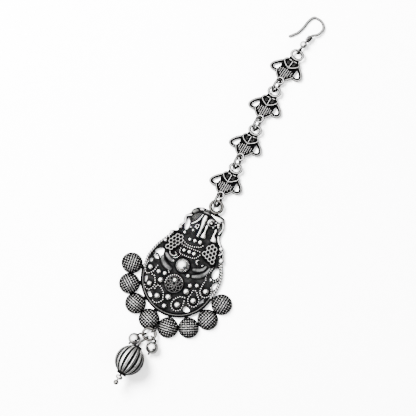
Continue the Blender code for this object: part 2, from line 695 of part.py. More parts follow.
def bails():
    """The loop at the top with its foot, and the wire eye soldered between the two lowest domes."""
    place = Matrix.Translation(on_pendant(BAIL, LOOP_LEVEL))
    foot = on_pendant(BAIL) - Vector((0, BAIL_RADIUS, 0))
    top = drop_ring_point(LOWER_BAIL_ANGLE)
    radial = (top - Vector((*DROP_RING_CENTRE, top.z))).normalized()
    solder = top + radial * (LOWER_BAIL_RADIUS + LOWER_BAIL_WIRE)
    return [
        ring(BAIL_RADIUS, BAIL_RADIUS, BAIL_WIRE, RING_SEGMENTS, WIRE_SIDES, place),
        block(foot, BAIL_RADIUS, BAIL_BLOCK, PLATE_THICKNESS * BAIL_FOOT, LOOP_LEVEL),
        drop_eye(LOWER_BAIL_ANGLE, radial, LOWER_BAIL_RADIUS, LOWER_BAIL_WIRE),
        block(solder, LOWER_BAIL_RADIUS, SOLDER_BLOCK, PLATE_THICKNESS * SOLDER_FOOT,
              DROP_RING_TOP_LEVEL + LOWER_BAIL_WIRE),
    ]


def drop_ring_channel():
    """The room for the drop ring where it passes under the edge of a dome, open below."""
    line = [drop_ring_point(turn) for turn in CHANNEL_TURNS]
    lower = [point - UP * RING_CHANNEL_DROP for point in line]
    return [wire(path, RING_WIRE + CLEARANCE, WIRE_SIDES) for path in (line, lower)]


def make_pendant():
    pendant = object_of(plate(), "pendant")
    holes = [prism(flat_outline(hole), -PLATE_THICKNESS, 3 * PLATE_THICKNESS) for hole in PIERCINGS]
    apply_boolean(pendant, holes, "DIFFERENCE")
    relief = []
    for index, angle in enumerate(dome_angles()):
        relief += dome(angle, DOME_TURN * index)
    relief += rim_and_sides()
    relief += [seated(row) for row in GRANULES + FRAMED_GRANULES]
    relief += bead_lines() + figure() + net_disc() + bails()
    apply_boolean(pendant, relief, "UNION")
    cuts = [cut for sleeve in SLEEVES for cut in pits(sleeve)] + drop_ring_channel()
    apply_boolean(pendant, cuts, "DIFFERENCE")
    return finish(pendant, OXIDISED_SILVER)


# Chain
def on_link(point, level=0.0):
    along = point.along * LINK_LENGTH
    return Vector((point.across * LINK_LENGTH + LINK_SKEW * along, along, level))


def link_line(points, level):
    return [on_link(point, level) for point in points]


def link_loop_centre():
    return on_link(Point(0, LOOP_ALONG))


def link_tip_centre():
    """The tip's eye hangs straight under the body's middle."""
    return Vector((TIP_ACROSS * LINK_LENGTH, link_loop_centre().y - LINK_LENGTH, 0))


def link_shapes():
    body = prism([tuple(on_link(point).xy) for point in BODY], 0, LINK_THICKNESS, LINK_CROWN)
    shapes = [body]
    shield = [tuple(on_link(point).xy) for point in COLLAR]
    shapes.append(prism(shield, LINK_THICKNESS / 2, LINK_THICKNESS + LINK_CROWN / 2))
    collar_level = LINK_THICKNESS + LINK_CROWN
    shapes.append(wire(link_line(COLLAR, collar_level), COLLAR_WIRE, THIN_SIDES, closed=True))
    middle_bar = [COLLAR[0]._replace(across=MIDDLE_BAR_ACROSS), COLLAR[3]]
    shapes.append(wire(link_line(middle_bar, collar_level), MIDDLE_BAR_WIRE, THIN_SIDES))
    shapes.append(wire(link_line(LOWER_RIM, LINK_THICKNESS), LINK_WIRE, THIN_SIDES))
    for hand in (1, -1):
        outer = [Point(hand * point.across, point.along) for point in WING]
        inner = [Point(hand * point.across, point.along) for point in WING_LEDGE]
        shapes.append(wire(link_line(outer, LINK_THICKNESS * WING_LEVEL), LINK_WIRE, THIN_SIDES))
        shapes.append(wire(link_line(inner, LINK_THICKNESS * WING_LEDGE_LEVEL), WING_LEDGE_WIRE, THIN_SIDES))
    neck = [Point(NECK_HALF_WIDTH, NECK_BOTTOM), Point(NECK_HALF_WIDTH, NECK_TOP),
            Point(-NECK_HALF_WIDTH, NECK_TOP), Point(-NECK_HALF_WIDTH, NECK_BOTTOM)]
    neck_outline = [tuple(on_link(point).xy) for point in neck]
    shapes.append(prism(neck_outline, LINK_THICKNESS / 2, LOOP_LEVEL * NECK_LEVEL))
    loop = Matrix.Translation(link_loop_centre() + UP * LOOP_LEVEL)
    shapes.append(ring(LOOP_HALF_WIDTH, LOOP_HALF_HEIGHT, LOOP_WIRE, EYE_SEGMENTS, THIN_SIDES, loop))
    tip = Matrix.Translation(link_tip_centre() + UP * LOOP_LEVEL)
    shapes.append(ring(TIP_RADIUS, TIP_RADIUS, TIP_WIRE, TIP_SEGMENTS, THIN_SIDES, tip))
    return shapes


def ring_level():
    """The height of a leaning ring's middle when its wire rests on the floor."""
    return FLOOR_GAP + RING_WIRE + RING_RADIUS * cos(RING_TILT)


def ring_crossing():
    """Half the distance between the two places where a ring crosses the level of the loops, and how far to
    the side of the ring's middle it crosses."""
    fall = (ring_level() - LOOP_LEVEL) / cos(RING_TILT)
    return sqrt(RING_RADIUS ** 2 - fall ** 2), fall * sin(RING_TILT)


def make_chain():
    """Rings and links in turn, each through the last, from the pendant's bail up. Returns the pieces and the
    middle of the top link's loop."""
    half_span, shift = ring_crossing()
    ring_shape = ring(RING_RADIUS, RING_RADIUS, RING_WIRE, RING_SEGMENTS, WIRE_SIDES, Matrix())
    ring_mesh = finish(object_of(ring_shape, "jump_ring_shape"), POLISHED_SILVER)
    link_mesh = fused("flower_link_shape", link_shapes(), OXIDISED_SILVER)
    start = on_pendant(BAIL) + Vector((0, BAIL_SLACK, 0))
    pieces = []
    for index, step in enumerate(CHAIN_ROUTE):
        number = len(CHAIN_ROUTE) - index
        along = Vector((sin(step.ring_lean), cos(step.ring_lean), 0))
        right = Vector((cos(step.ring_lean), -sin(step.ring_lean), 0))
        middle = start + along * half_span - right * shift + UP * ring_level()
        jump_ring = bpy.data.objects.new(f"jump_ring_{number}", ring_mesh.data)
        jump_ring.matrix_world = upright(middle, step.ring_lean, RING_TILT)
        tip = start + along * 2 * half_span
        turn = Matrix.Rotation(-step.link_lean, 4, "Z")
        link = bpy.data.objects.new(f"flower_link_{number}", link_mesh.data)
        link.location = tip - turn @ link_tip_centre()
        link.rotation_euler.z = -step.link_lean
        loop = link.location + turn @ link_loop_centre()
        start = loop + Vector((0, RING_SLACK, 0))
        for piece in (jump_ring, link):
            bpy.context.scene.collection.objects.link(piece)
            pieces.append(piece)
    for shape in (ring_mesh, link_mesh):
        bpy.data.objects.remove(shape, do_unlink=True)
    return pieces, loop


# Hook
def make_hook(top_loop):
    """The hook's eye goes round the top link's loop. A bead and a coil are threaded on its wire, which then
    sinks to the floor along its bend."""
    eye = top_loop + Vector((0, LOOP_HALF_HEIGHT, LOOP_LEVEL))
    eye_place = upright(eye, HOOK_EYE_LEAN, RING_TILT)
    eye_shape = ring(HOOK_EYE_RADIUS, HOOK_EYE_RADIUS, HOOK_EYE_WIRE, EYE_SEGMENTS, WIRE_SIDES, eye_place)
    rise = Vector((sin(HOOK_EYE_LEAN), cos(HOOK_EYE_LEAN), 0))
    neck = eye + rise * HOOK_EYE_RADIUS
    bead = neck + rise * (HOOK_EYE_WIRE + CLEARANCE / 2 + HOOK_BEAD_RADIUS)
    lean = Vector((sin(HOOK_NECK_LEAN), cos(HOOK_NECK_LEAN), 0))
    coil_start = bead + lean * (HOOK_BEAD_RADIUS + CLEARANCE + COIL_WIRE)
    coil_end = coil_start + lean * COIL_TURNS * COIL_PITCH
    path = [neck, bead, coil_start, coil_end]
    rest = HOOK_WIRE + FLOOR_GAP
    for index, point in enumerate(HOOK_BEND, 1):
        level = rest + (coil_end.z - rest) * max(0, 1 - index / HOOK_SLOPE_POINTS)
        across = coil_end.x + point.across * HOOK_REACH
        along = coil_end.y + point.along * HOOK_REACH
        path.append(Vector((across, along, level)))
    radii = [HOOK_WIRE] * (len(path) - 1) + [HOOK_WIRE * HOOK_TIP_TAPER]
    hook = fused("hook_wire", [tube(path, radii, WIRE_SIDES), eye_shape], POLISHED_SILVER)
    bore = HOOK_WIRE + THREAD_GAP
    place = axis_place(bead, (coil_start - neck).normalized())
    bead_piece = object_of(bored_ball(HOOK_BEAD_RADIUS, bore, place), "hook_bead")
    coil = object_of(coil_shape(coil_start, lean, bore), "hook_coil")
    return [hook, finish(bead_piece, POLISHED_SILVER), finish(coil, POLISHED_SILVER)]


def coil_shape(start, axis, bore):
    """Close turns of thin wire round the hook's shank."""
    radius = bore + COIL_WIRE
    side = axis.cross(UP).normalized()
    loops = []
    for step in range(COIL_TURNS * COIL_STEPS + 1):
        turn = 2 * pi * step / COIL_STEPS
        out = side * cos(turn) + UP * sin(turn)
        middle = start + axis * COIL_PITCH * step / COIL_STEPS + out * radius
        angles = [2 * pi * corner / THIN_SIDES for corner in range(THIN_SIDES)]
        loops.append([middle + COIL_WIRE * (out * cos(a) + axis * sin(a)) for a in angles])
    return loft(loops)


# Drop
def bored_ball(radius, bore, place):
    """A round bead with a hole along its own +Z axis."""
    start = asin(bore / radius)
    turns = [start + (pi - 2 * start) * step / BORED_STEPS for step in range(BORED_STEPS + 1)]
    profile = [(radius * sin(t), radius * cos(t)) for t in turns]
    return turned(profile, ROUND_SIDES, place, bored=True)


def axis_place(middle, axis):
    return Matrix.Translation(middle) @ UP.rotation_difference(axis).to_matrix().to_4x4()


def make_ball(side, hanging, radius):
    """A round bead that lies on the floor, on a pin that leaves the outer side of its eye on the drop ring."""
    out = Vector((cos(hanging.ring_angle), sin(hanging.ring_angle), 0))
    start = drop_ring_point(hanging.ring_angle) + out * PIN_EYE_RADIUS
    reach = PIN_EYE_WIRE + CLEARANCE + radius
    level_reach = sqrt(reach ** 2 - (start.z - radius) ** 2)
    away = Vector((cos(hanging.hang_angle), sin(hanging.hang_angle), 0))
    middle = Vector((*start.xy, radius)) + away * level_reach
    axis = (start - middle).normalized()
    bead = object_of(bored_ball(radius, PIN_WIRE + CLEARANCE, axis_place(middle, axis)), f"{side}_ball")
    bottom = middle - axis * (radius + PIN_TIP_RADIUS)
    shapes = [wire([start, bottom], PIN_WIRE, THIN_SIDES), ball(bottom, PIN_TIP_RADIUS),
              drop_eye(hanging.ring_angle, out, PIN_EYE_RADIUS, PIN_EYE_WIRE)]
    return [finish(bead, POLISHED_SILVER), fused(f"{side}_ball_pin", shapes, POLISHED_SILVER)]


def melon_shape(place):
    """A ribbed bead: round ribs with sunk grooves between them, and a plain neck at each end."""
    sides = MELON_RIBS * len(RIB_DEPTHS)
    bore = PIN_WIRE + CLEARANCE
    neck = MELON_NECK_RADIUS
    end = MELON_HALF_LENGTH + MELON_NECK_LENGTH
    rows = [(bore, end), (neck, end), (neck, MELON_HALF_LENGTH * MELON_SHOULDER)]
    start = asin(neck / MELON_RADIUS) + MELON_NECK_ROOM
    for step in range(MELON_STEPS + 1):
        turn = start + (pi - 2 * start) * step / MELON_STEPS
        rows.append((MELON_RADIUS * sin(turn), MELON_HALF_LENGTH * cos(turn)))
    rows += [(neck, -MELON_HALF_LENGTH * MELON_SHOULDER), (neck, -end), (bore, -end)]
    loops = []
    for radius, height in rows:
        ribbed = radius > neck
        loop = []
        for side in range(sides):
            depth = RIB_DEPTHS[side % len(RIB_DEPTHS)] if ribbed else 0
            sink = MELON_GROOVE * depth * radius / MELON_RADIUS
            turn = 2 * pi * side / sides
            loop.append(((radius - sink) * cos(turn), (radius - sink) * sin(turn), height))
        loops.append(loop)
    bm = loft(loops, closed=True)
    bm.transform(place)
    return bm


def make_melon():
    """The melon bead lies on the floor, with a spacer bead and a ball at the end of its pin."""
    eye = drop_ring_point(MELON.ring_angle)
    away = Vector((cos(MELON.hang_angle), sin(MELON.hang_angle), 0))
    middle = Vector((*DROP_RING_CENTRE, MELON_RADIUS)) + away * MELON_REACH
    level_axis = Vector((-sin(MELON_LEAN), cos(MELON_LEAN), 0))
    axis = (level_axis * cos(BEAD_PITCH) - UP * sin(BEAD_PITCH)).normalized()
    bead = finish(object_of(melon_shape(axis_place(middle, axis)), "melon_bead"), OXIDISED_SILVER)
    bead_end = MELON_HALF_LENGTH + MELON_NECK_LENGTH
    neck = middle + axis * (bead_end + MELON_SHANK)
    spacer_reach = bead_end + CLEARANCE + SPACER_HALF_LENGTH
    end = middle - axis * (spacer_reach + SPACER_HALF_LENGTH + CLEARANCE + END_BALL_RADIUS)
    eye_axis = (eye - neck).normalized()
    shapes = [
        wire([eye - eye_axis * PIN_EYE_RADIUS, neck, middle, end], PIN_WIRE, THIN_SIDES),
        drop_eye(MELON.ring_angle, eye_axis * -1, PIN_EYE_RADIUS, PIN_EYE_WIRE),
        ball(end, END_BALL_RADIUS, rings=END_BALL_RINGS),
    ]
    pin = fused("melon_pin", shapes, POLISHED_SILVER)
    spacer_place = axis_place(middle - axis * spacer_reach, axis)
    bore = PIN_WIRE + CLEARANCE
    profile = [(bore, SPACER_HALF_LENGTH)]
    for turn in SPACER_TURNS:
        profile.append((SPACER_RADIUS * sin(turn), SPACER_HALF_LENGTH * cos(turn)))
    profile.append((bore, -SPACER_HALF_LENGTH))
    spacer = object_of(turned(profile, ROUND_SIDES, spacer_place, bored=True), "melon_spacer_bead")
    return [bead, pin, finish(spacer, POLISHED_SILVER)]


def make_drop_ring():
    turns = [2 * pi * step / DROP_RING_SEGMENTS for step in range(DROP_RING_SEGMENTS)]
    path = [drop_ring_point(turn) for turn in turns]
    obj = object_of(wire(path, RING_WIRE, WIRE_SIDES, closed=True), "drop_ring")
    return finish(obj, POLISHED_SILVER)


# Frame
def centre_on_base(pieces):
    """Hangs all pieces on one empty and moves it so that the origin is under the middle of their box."""
    root = bpy.data.objects.new("maang_tikka", None)
    bpy.context.scene.collection.objects.link(root)
    for piece in pieces:
        piece.parent = root
    bpy.context.view_layer.update()
    corners = [piece.matrix_world @ vertex.co for piece in pieces for vertex in piece.data.vertices]
    low = [min(corner[axis] for corner in corners) for axis in range(3)]
    high = [max(corner[axis] for corner in corners) for axis in range(3)]
    root.location = (-(low[0] + high[0]) / 2, -(low[1] + high[1]) / 2, -low[2])


pendant = make_pendant()
chain, top_loop_centre = make_chain()
everything = [pendant, make_drop_ring()] + chain + make_hook(top_loop_centre)
everything += make_ball("left", LEFT_BALL, LEFT_BALL_RADIUS)
everything += make_ball("right", RIGHT_BALL, RIGHT_BALL_RADIUS)
everything += make_melon()
centre_on_base(everything)
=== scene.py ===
"""The maang tikka in oxidised and polished silver, face up on a pale floor.

Lengths are millimetres in the pendant's own plane, with +Y towards the hook, until a piece is finished."""

import json
from collections import namedtuple
from itertools import product
from math import asin, cos, pi, radians, sin, sqrt

import bpy
import numpy as np
from mathutils import Matrix, Vector
from mathutils.geometry import delaunay_2d_cdt


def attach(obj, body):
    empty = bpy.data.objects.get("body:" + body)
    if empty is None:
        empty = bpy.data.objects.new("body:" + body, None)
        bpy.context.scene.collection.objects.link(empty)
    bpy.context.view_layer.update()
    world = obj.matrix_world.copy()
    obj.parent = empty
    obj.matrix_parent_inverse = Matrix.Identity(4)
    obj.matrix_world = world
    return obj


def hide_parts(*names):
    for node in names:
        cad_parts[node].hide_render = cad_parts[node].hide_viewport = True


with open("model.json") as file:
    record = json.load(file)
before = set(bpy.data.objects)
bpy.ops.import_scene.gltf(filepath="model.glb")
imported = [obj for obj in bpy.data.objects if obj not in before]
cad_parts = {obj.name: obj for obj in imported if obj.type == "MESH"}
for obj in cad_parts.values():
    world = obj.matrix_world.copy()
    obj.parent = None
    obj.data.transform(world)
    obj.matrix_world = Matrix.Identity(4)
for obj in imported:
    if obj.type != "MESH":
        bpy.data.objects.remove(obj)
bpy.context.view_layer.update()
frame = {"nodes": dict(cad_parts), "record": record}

MM = 0.001
TINY = 1e-9
# Where the pendant's own plane has its origin
SHIFT = np.array(next(m for m in frame["record"]["mounts"] if m["name"] == "pendant_back")["pos_m"])
UP = np.array((0.0, 0.0, 1.0))
UP_VECTOR = Vector(UP)
# Tarnish of a surface that is black all over, and of a plate's underside
BLACKENED = 1.0
UNDERSIDE = 0.6
RANDOM = np.random.default_rng(11)


# Mesh building
def unit(vector):
    vector = np.asarray(vector, float)
    return vector / np.maximum(np.linalg.norm(vector, axis=-1, keepdims=True), TINY)


def add_object(name, data):
    piece = bpy.data.objects.new(name, data)
    bpy.context.scene.collection.objects.link(piece)
    return piece


class Form:
    """Faces gathered for one piece, with a value from 0 (bright) to 1 (black) at each point that holds its
    oxide and its painted highlights and shade.
    """

    def __init__(self):
        self.points = []
        self.tarnish_and_shade = []
        self.quads = []
        self.corners = []
        self.count = 0

    def put(self, points, tarnish_and_shade):
        points = np.asarray(points, float).reshape(-1, 3)
        start = self.count
        self.points.append(points)
        self.tarnish_and_shade.append(np.broadcast_to(np.asarray(tarnish_and_shade, float).ravel(), len(points)))
        self.count += len(points)
        return start

    def grid(self, points, tarnish_and_shade=0.0, wrap_rows=False):
        """Rows of points, each row closed on itself. Open ends are capped."""
        rows, columns, _ = points.shape
        if np.ndim(tarnish_and_shade) == 1:
            tarnish_and_shade = np.repeat(tarnish_and_shade, columns)
        start = self.put(points, tarnish_and_shade)
        index = start + np.arange(rows * columns).reshape(rows, columns)
        low, high = (index, np.roll(index, -1, 0)) if wrap_rows else (index[:-1], index[1:])
        quads = np.stack([low, np.roll(low, -1, 1), np.roll(high, -1, 1), high], -1)
        self.quads.append(quads.reshape(-1, 4))
        if not wrap_rows:
            self.corners += [index[0][::-1].tolist(), index[-1].tolist()]

    def copy_of(self, other, matrix):
        """Adds another form, moved by a 4 x 4 matrix."""
        start = self.count
        self.put(moved(np.concatenate(other.points), matrix), np.concatenate(other.tarnish_and_shade))
        self.quads += [quads + start for quads in other.quads]
        self.corners += [[index + start for index in corner] for corner in other.corners]

    def build(self, name, material, replaced, sharp=42):
        points = np.concatenate(self.points) * MM + SHIFT
        quads = np.concatenate(self.quads) if self.quads else np.zeros((0, 4), int)
        mesh = bpy.data.meshes.new(name)
        mesh.from_pydata(points.tolist(), [], quads.tolist() + self.corners)
        mesh.validate()
        layer = mesh.attributes.new("tarnish_and_shade", "FLOAT", "POINT")
        layer.data.foreach_set("value", np.concatenate(self.tarnish_and_shade).astype(np.float32))
        mesh.shade_smooth()
        mesh.set_sharp_from_angle(angle=radians(sharp))
        mesh.materials.append(material)
        piece = add_object(name, mesh)
        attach(piece, "root")
        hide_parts(*replaced)

    def build_fine(self, node, material, sharp=42):
        """Finishes the form as the finer version of one part."""
        self.build(f"{node}_fine", material, [node], sharp)

    def build_pendant(self, name, material, sharp=42):
        """Finishes the form as a piece of the pendant."""
        self.build(name, material, ["pendant"], sharp)


def full_turn(count):
    """Angles at equal steps round a circle."""
    return np.linspace(0, 2 * pi, count, endpoint=False)


def spoke(angle):
    """The flat direction at an angle from +X."""
    return np.array((cos(angle), sin(angle), 0))


def heading(lean):
    """The flat direction that leans by an angle from +Y towards +X."""
    return np.array((sin(lean), cos(lean), 0))


def rightward(lean):
    """The flat direction to the right of a heading."""
    return np.array((cos(lean), -sin(lean), 0))


def tube_rows(path, radius, sides, pole=UP, closed=False):
    """Rings of points round a path. The pole is any direction that the path never runs along."""
    path = np.asarray(path, float)
    ahead = np.roll(path, -1, 0) - np.roll(path, 1, 0) if closed else np.gradient(path, axis=0)
    along = unit(ahead)
    side = unit(np.cross(along, pole))
    rise = np.cross(side, along)
    radius = np.broadcast_to(radius, len(path))[:, None, None]
    angle = full_turn(sides)[None, :, None]
    return path[:, None] + radius * (side[:, None] * np.cos(angle) + rise[:, None] * np.sin(angle))


# A wire's painted highlight along its top and its fade to painted shade on the flanks, in the wire's radii
HIGHLIGHT_SHARE = 0.10
HIGHLIGHT_FADE = 0.5
HIGHLIGHT_LEAN = 0.16
LEAST_LIFT = 0.25


def painted_highlight_and_shade(height):
    """A painted highlight along a wire's top and painted shade on its flanks, by the height over its middle
    in radii.
    """
    share = np.where(height > 0, np.sqrt(np.clip(1 - height**2, 0, 1)), 1)
    return np.clip((share - HIGHLIGHT_SHARE) / HIGHLIGHT_FADE, 0, 1)


def round_highlight_and_shade(sides):
    """The same painted highlight and shade, for each side in turn of a wire that lies flat."""
    return painted_highlight_and_shade(np.sin(full_turn(sides)))


def outer_highlight_and_shade(path, rows, middle):
    """The painted highlight and shade of a wire whose highlight leans away from a middle point, which leaves
    painted shade on its inner side.
    """
    path = np.asarray(path, float)
    out = unit((path - middle) * (1, 1, 0))
    core = unit(UP + out * HIGHLIGHT_LEAN)
    normal = unit(rows - path[:, None])
    return painted_highlight_and_shade(np.sum(normal * core[:, None], axis=2))


def add_tube(form, path, radius, sides=10, pole=UP, closed=False, tarnish_and_shade=None, middle=None):
    """A round wire along a path, with given values of oxide and shade, or with a painted highlight along its
    top and painted shade on its flanks.
    """
    rows = tube_rows(path, radius, sides, pole, closed)
    if middle is not None:
        tarnish_and_shade = outer_highlight_and_shade(path, rows, middle)
    elif tarnish_and_shade is None:
        # By default each section's highest line carries the painted highlight and its flanks the painted
        # shade
        lift = rows[..., 2] - np.mean(rows[..., 2], axis=1, keepdims=True)
        highest = np.maximum(np.max(lift, axis=1, keepdims=True), LEAST_LIFT * np.mean(radius))
        tarnish_and_shade = painted_highlight_and_shade(lift / highest)
    if np.ndim(tarnish_and_shade) == 1 and len(tarnish_and_shade) == sides:
        tarnish_and_shade = np.tile(tarnish_and_shade, len(rows)).reshape(len(rows), sides)
    form.grid(rows, tarnish_and_shade, wrap_rows=closed)


def smooth_path(points, step=0.2, closed=False):
    """A smooth curve through the points, in steps of about this length."""
    points = np.asarray(points, float)
    if points.shape[1] == 2:
        points = np.column_stack([points, np.zeros(len(points))])
    if closed:
        ends = np.vstack([points[-1:], points, points[:2]])
    else:
        ends = np.vstack([2 * points[0] - points[1], points, 2 * points[-1] - points[-2]])
    curve = []
    for a, b, c, d in zip(ends, ends[1:], ends[2:], ends[3:]):
        count = max(2, int(np.linalg.norm(c - b) / step))
        t = np.linspace(0, 1, count, endpoint=False)[:, None]
        square = 2 * a - 5 * b + 4 * c - d
        cube = 3 * b - a - 3 * c + d
        curve.append(0.5 * (2 * b + (c - a) * t + square * t**2 + cube * t**3))
    if not closed:
        curve.append(points[-1:])
    return np.vstack(curve)


def lengths_along(path):
    """The length of a path up to each of its points."""
    return np.concatenate([[0], np.cumsum(np.linalg.norm(np.diff(path, axis=0), axis=1))])


def resampled(path, count, closed=False):
    """A number of points at equal steps along a path."""
    length = lengths_along(path)
    marks = np.linspace(0, length[-1], count, endpoint=not closed)
    return np.column_stack([np.interp(marks, length, path[:, axis]) for axis in range(3)])


def spaced(path, step, closed=False):
    """Points about one step apart along a path."""
    if closed:
        path = np.vstack([path, path[:1]])
    count = max(2, int(round(lengths_along(path)[-1] / step)) + (0 if closed else 1))
    return resampled(path, count, closed)


def circle(centre, radius, count, first=0.0, last=2 * pi, level=0.0, closed=True):
    angle = np.linspace(first, last, count, endpoint=not closed)
    across = centre[0] + radius * np.cos(angle)
    along = centre[1] + radius * np.sin(angle)
    return np.column_stack([across, along, np.full(count, level)])


# A ball's poles are left open this much, and the painted shade on its lower side starts this far up
POLE_GAP = 0.04
BALL_SHADE_START = 0.64
BALL_SHADE_FADE = 1.2


def add_ball(form, centre, radius, rows=8, sides=14, lowest=-0.5 * pi, squash=1.0, dark=0.85, top_tarnish=0.0,
             matrix=None):
    """A ball, or the part of one above the lowest angle. Painted shade darkens its lower side towards its
    foot.
    """
    angle = np.linspace(lowest, 0.5 * pi, rows + 1)
    angle[-1] -= POLE_GAP
    if lowest < -1.5:
        angle[0] += POLE_GAP
    points = turned_rows(np.column_stack([radius * np.cos(angle), radius * squash * np.sin(angle)]), sides)
    if matrix is not None:
        points = points @ np.asarray(matrix)[:3, :3].T
    points += np.asarray(centre, float)
    # Painted shade: darker from this height down to the foot value at the bottom
    foot = np.clip(BALL_SHADE_START - np.sin(angle), 0, 1) ** BALL_SHADE_FADE
    form.grid(points, top_tarnish + (dark - top_tarnish) * foot)


def turned_rows(profile, sides):
    """Rings of points of a body of revolution. The profile is a list of (radius, height)."""
    profile = np.asarray(profile, float)
    turn = full_turn(sides)
    ring = np.stack([np.cos(turn), np.sin(turn)], -1)
    points = np.zeros((len(profile), sides, 3))
    points[..., :2] = ring[None] * profile[:, 0][:, None, None]
    points[..., 2] = profile[:, 1][:, None]
    return points


def axis_matrix(middle, axis):
    """Places a body that stands on +Z so that it runs along an axis through a middle."""
    turn = UP_VECTOR.rotation_difference(Vector(axis)).to_matrix().to_4x4()
    return np.array(Matrix.Translation(Vector(middle)) @ turn)


def moved(points, matrix):
    matrix = np.asarray(matrix)
    return points @ matrix[:3, :3].T + matrix[:3, 3]


def add_bored(form, profile, sides, middle, axis):
    """A bored body of revolution along an axis."""
    form.grid(moved(turned_rows(profile, sides), axis_matrix(middle, axis)), wrap_rows=True)


# Materials. Scales are features to the metre, and reaches and depths are metres
OCCLUSION_REACH = 0.0014
OCCLUSION_START = 0.14
COARSE_SCALE = 420
FINE_SCALE = 2600
FINE_SHARE = 0.6
SCRATCH_SCALE = 900
SCRATCH_STRETCH = (1, 9, 1)
SCRATCH_TURN = 0.6
SCRATCH_ROUGHNESS = 0.12
GRAIN_SCALE = 1500
GRAIN_DEPTH = 0.00003
COARSE_HEIGHT = 1.5
# Shares of the bright tone at the ramp's middle stops, used alike for oxide, wear and painted shade
GREY_SHARE = 0.38
DARK_GREY_SHARE = 0.05
TONE_STOPS = (0.06, 0.24, 0.48, 0.78)
BLACK_METAL_LOSS = 0.35
SILVER_GLEAM = 0.5
BRIGHT = (0.90, 0.89, 0.87)
BLACK = (0.001, 0.001, 0.0011)


def nodes_of(name):
    material = bpy.data.materials.new(name)
    material.use_nodes = True
    tree = material.node_tree
    return material, tree, tree.nodes["Principled BSDF"]


def add_node(tree, kind, **settings):
    node = tree.nodes.new(kind)
    for key, value in settings.items():
        if isinstance(value, (int, float, str, tuple)) and key in node.inputs:
            node.inputs[key].default_value = value
        else:
            setattr(node, key, value)
    return node


def noise(tree, scale, detail=4.0, roughness=0.55, stretch=None):
    """Noise in object space, turned and stretched if asked."""
    place = add_node(tree, "ShaderNodeTexCoord")
    source = place.outputs["Object"]
    if stretch:
        mapping = add_node(tree, "ShaderNodeMapping")
        mapping.inputs["Scale"].default_value = stretch
        mapping.inputs["Rotation"].default_value = (0, 0, SCRATCH_TURN)
        tree.links.new(source, mapping.inputs["Vector"])
        source = mapping.outputs["Vector"]
    node = add_node(tree, "ShaderNodeTexNoise", Scale=scale, Detail=detail, Roughness=roughness)
    tree.links.new(source, node.inputs["Vector"])
    return node.outputs["Fac"]


def feed(tree, value, socket):
    """Gives a socket a plain value or another node's output."""
    if isinstance(value, bpy.types.NodeSocket):
        tree.links.new(value, socket)
    else:
        socket.default_value = value


def maths(tree, operation, *values, clamp=False):
    node = add_node(tree, "ShaderNodeMath", operation=operation)
    node.use_clamp = clamp
    for value, socket in zip(values, node.inputs):
        feed(tree, value, socket)
    return node.outputs[0]


def colour_mix(tree, factor, first, second, blend="MIX"):
    """Blends two colours, by a factor from 0 to 1."""
    node = add_node(tree, "ShaderNodeMix", data_type="RGBA", blend_type=blend)
    feed(tree, factor, node.inputs["Factor"])
    feed(tree, first, node.inputs[6])
    feed(tree, second, node.inputs[7])
    return node.outputs[2]


def ramp(tree, source, stops):
    node = add_node(tree, "ShaderNodeValToRGB")
    node.color_ramp.interpolation = "EASE"
    while len(node.color_ramp.elements) < len(stops):
        node.color_ramp.elements.new(0.5)
    for element, (position, colour) in zip(node.color_ramp.elements, stops):
        element.position = position
        element.color = (*colour, 1)
    tree.links.new(source, node.inputs["Fac"])
    return node.outputs["Color"]


def mixed(bright, share):
    """A tone with this share of the bright colour, over black."""
    return tuple(a * share + b * (1 - share) for a, b in zip(bright, BLACK))


def scaled(tree, value, start, share, clamp=False):
    """A share of how far a value is over its start."""
    return maths(tree, "MULTIPLY", maths(tree, "SUBTRACT", value, start), share, clamp=clamp)


def silver_tarnish_and_shade(tree, recess_and_shade, patchy):
    """Tarnish and shade from 0 to 1: what the form gives, which holds oxide and painted highlights and shade;
    darkening where the surface is closed in, which is oxide in its hollows and painted shade where the floor
    or another piece is near; and a patchy wear.
    """
    attribute = add_node(tree, "ShaderNodeAttribute", attribute_name="tarnish_and_shade")
    # Ambient occlusion: oxide in the piece's own hollows, and painted shade where the floor or another piece
    # closes the surface in
    occlusion = add_node(tree, "ShaderNodeAmbientOcclusion", samples=12, Distance=OCCLUSION_REACH)
    closed = maths(tree, "SUBTRACT", 1.0, occlusion.outputs["AO"])
    sunk = scaled(tree, closed, OCCLUSION_START, recess_and_shade, clamp=True)
    coarse = noise(tree, COARSE_SCALE)
    given = maths(tree, "ADD", attribute.outputs["Fac"], scaled(tree, coarse, 0.5, patchy))
    fine = noise(tree, FINE_SCALE, detail=3)
    worn = scaled(tree, fine, 0.5, patchy * FINE_SHARE)
    return maths(tree, "ADD", maths(tree, "ADD", given, sunk), worn, clamp=True), coarse


def silver_grain(tree, shader, coarse, grain):
    """The casting's fine grain, as bump."""
    bump = add_node(tree, "ShaderNodeBump", Strength=grain, Distance=GRAIN_DEPTH)
    fine = noise(tree, GRAIN_SCALE, detail=5, roughness=0.6)
    height = maths(tree, "ADD", fine, maths(tree, "MULTIPLY", coarse, COARSE_HEIGHT))
    tree.links.new(height, bump.inputs["Height"])
    tree.links.new(bump.outputs["Normal"], shader.inputs["Normal"])


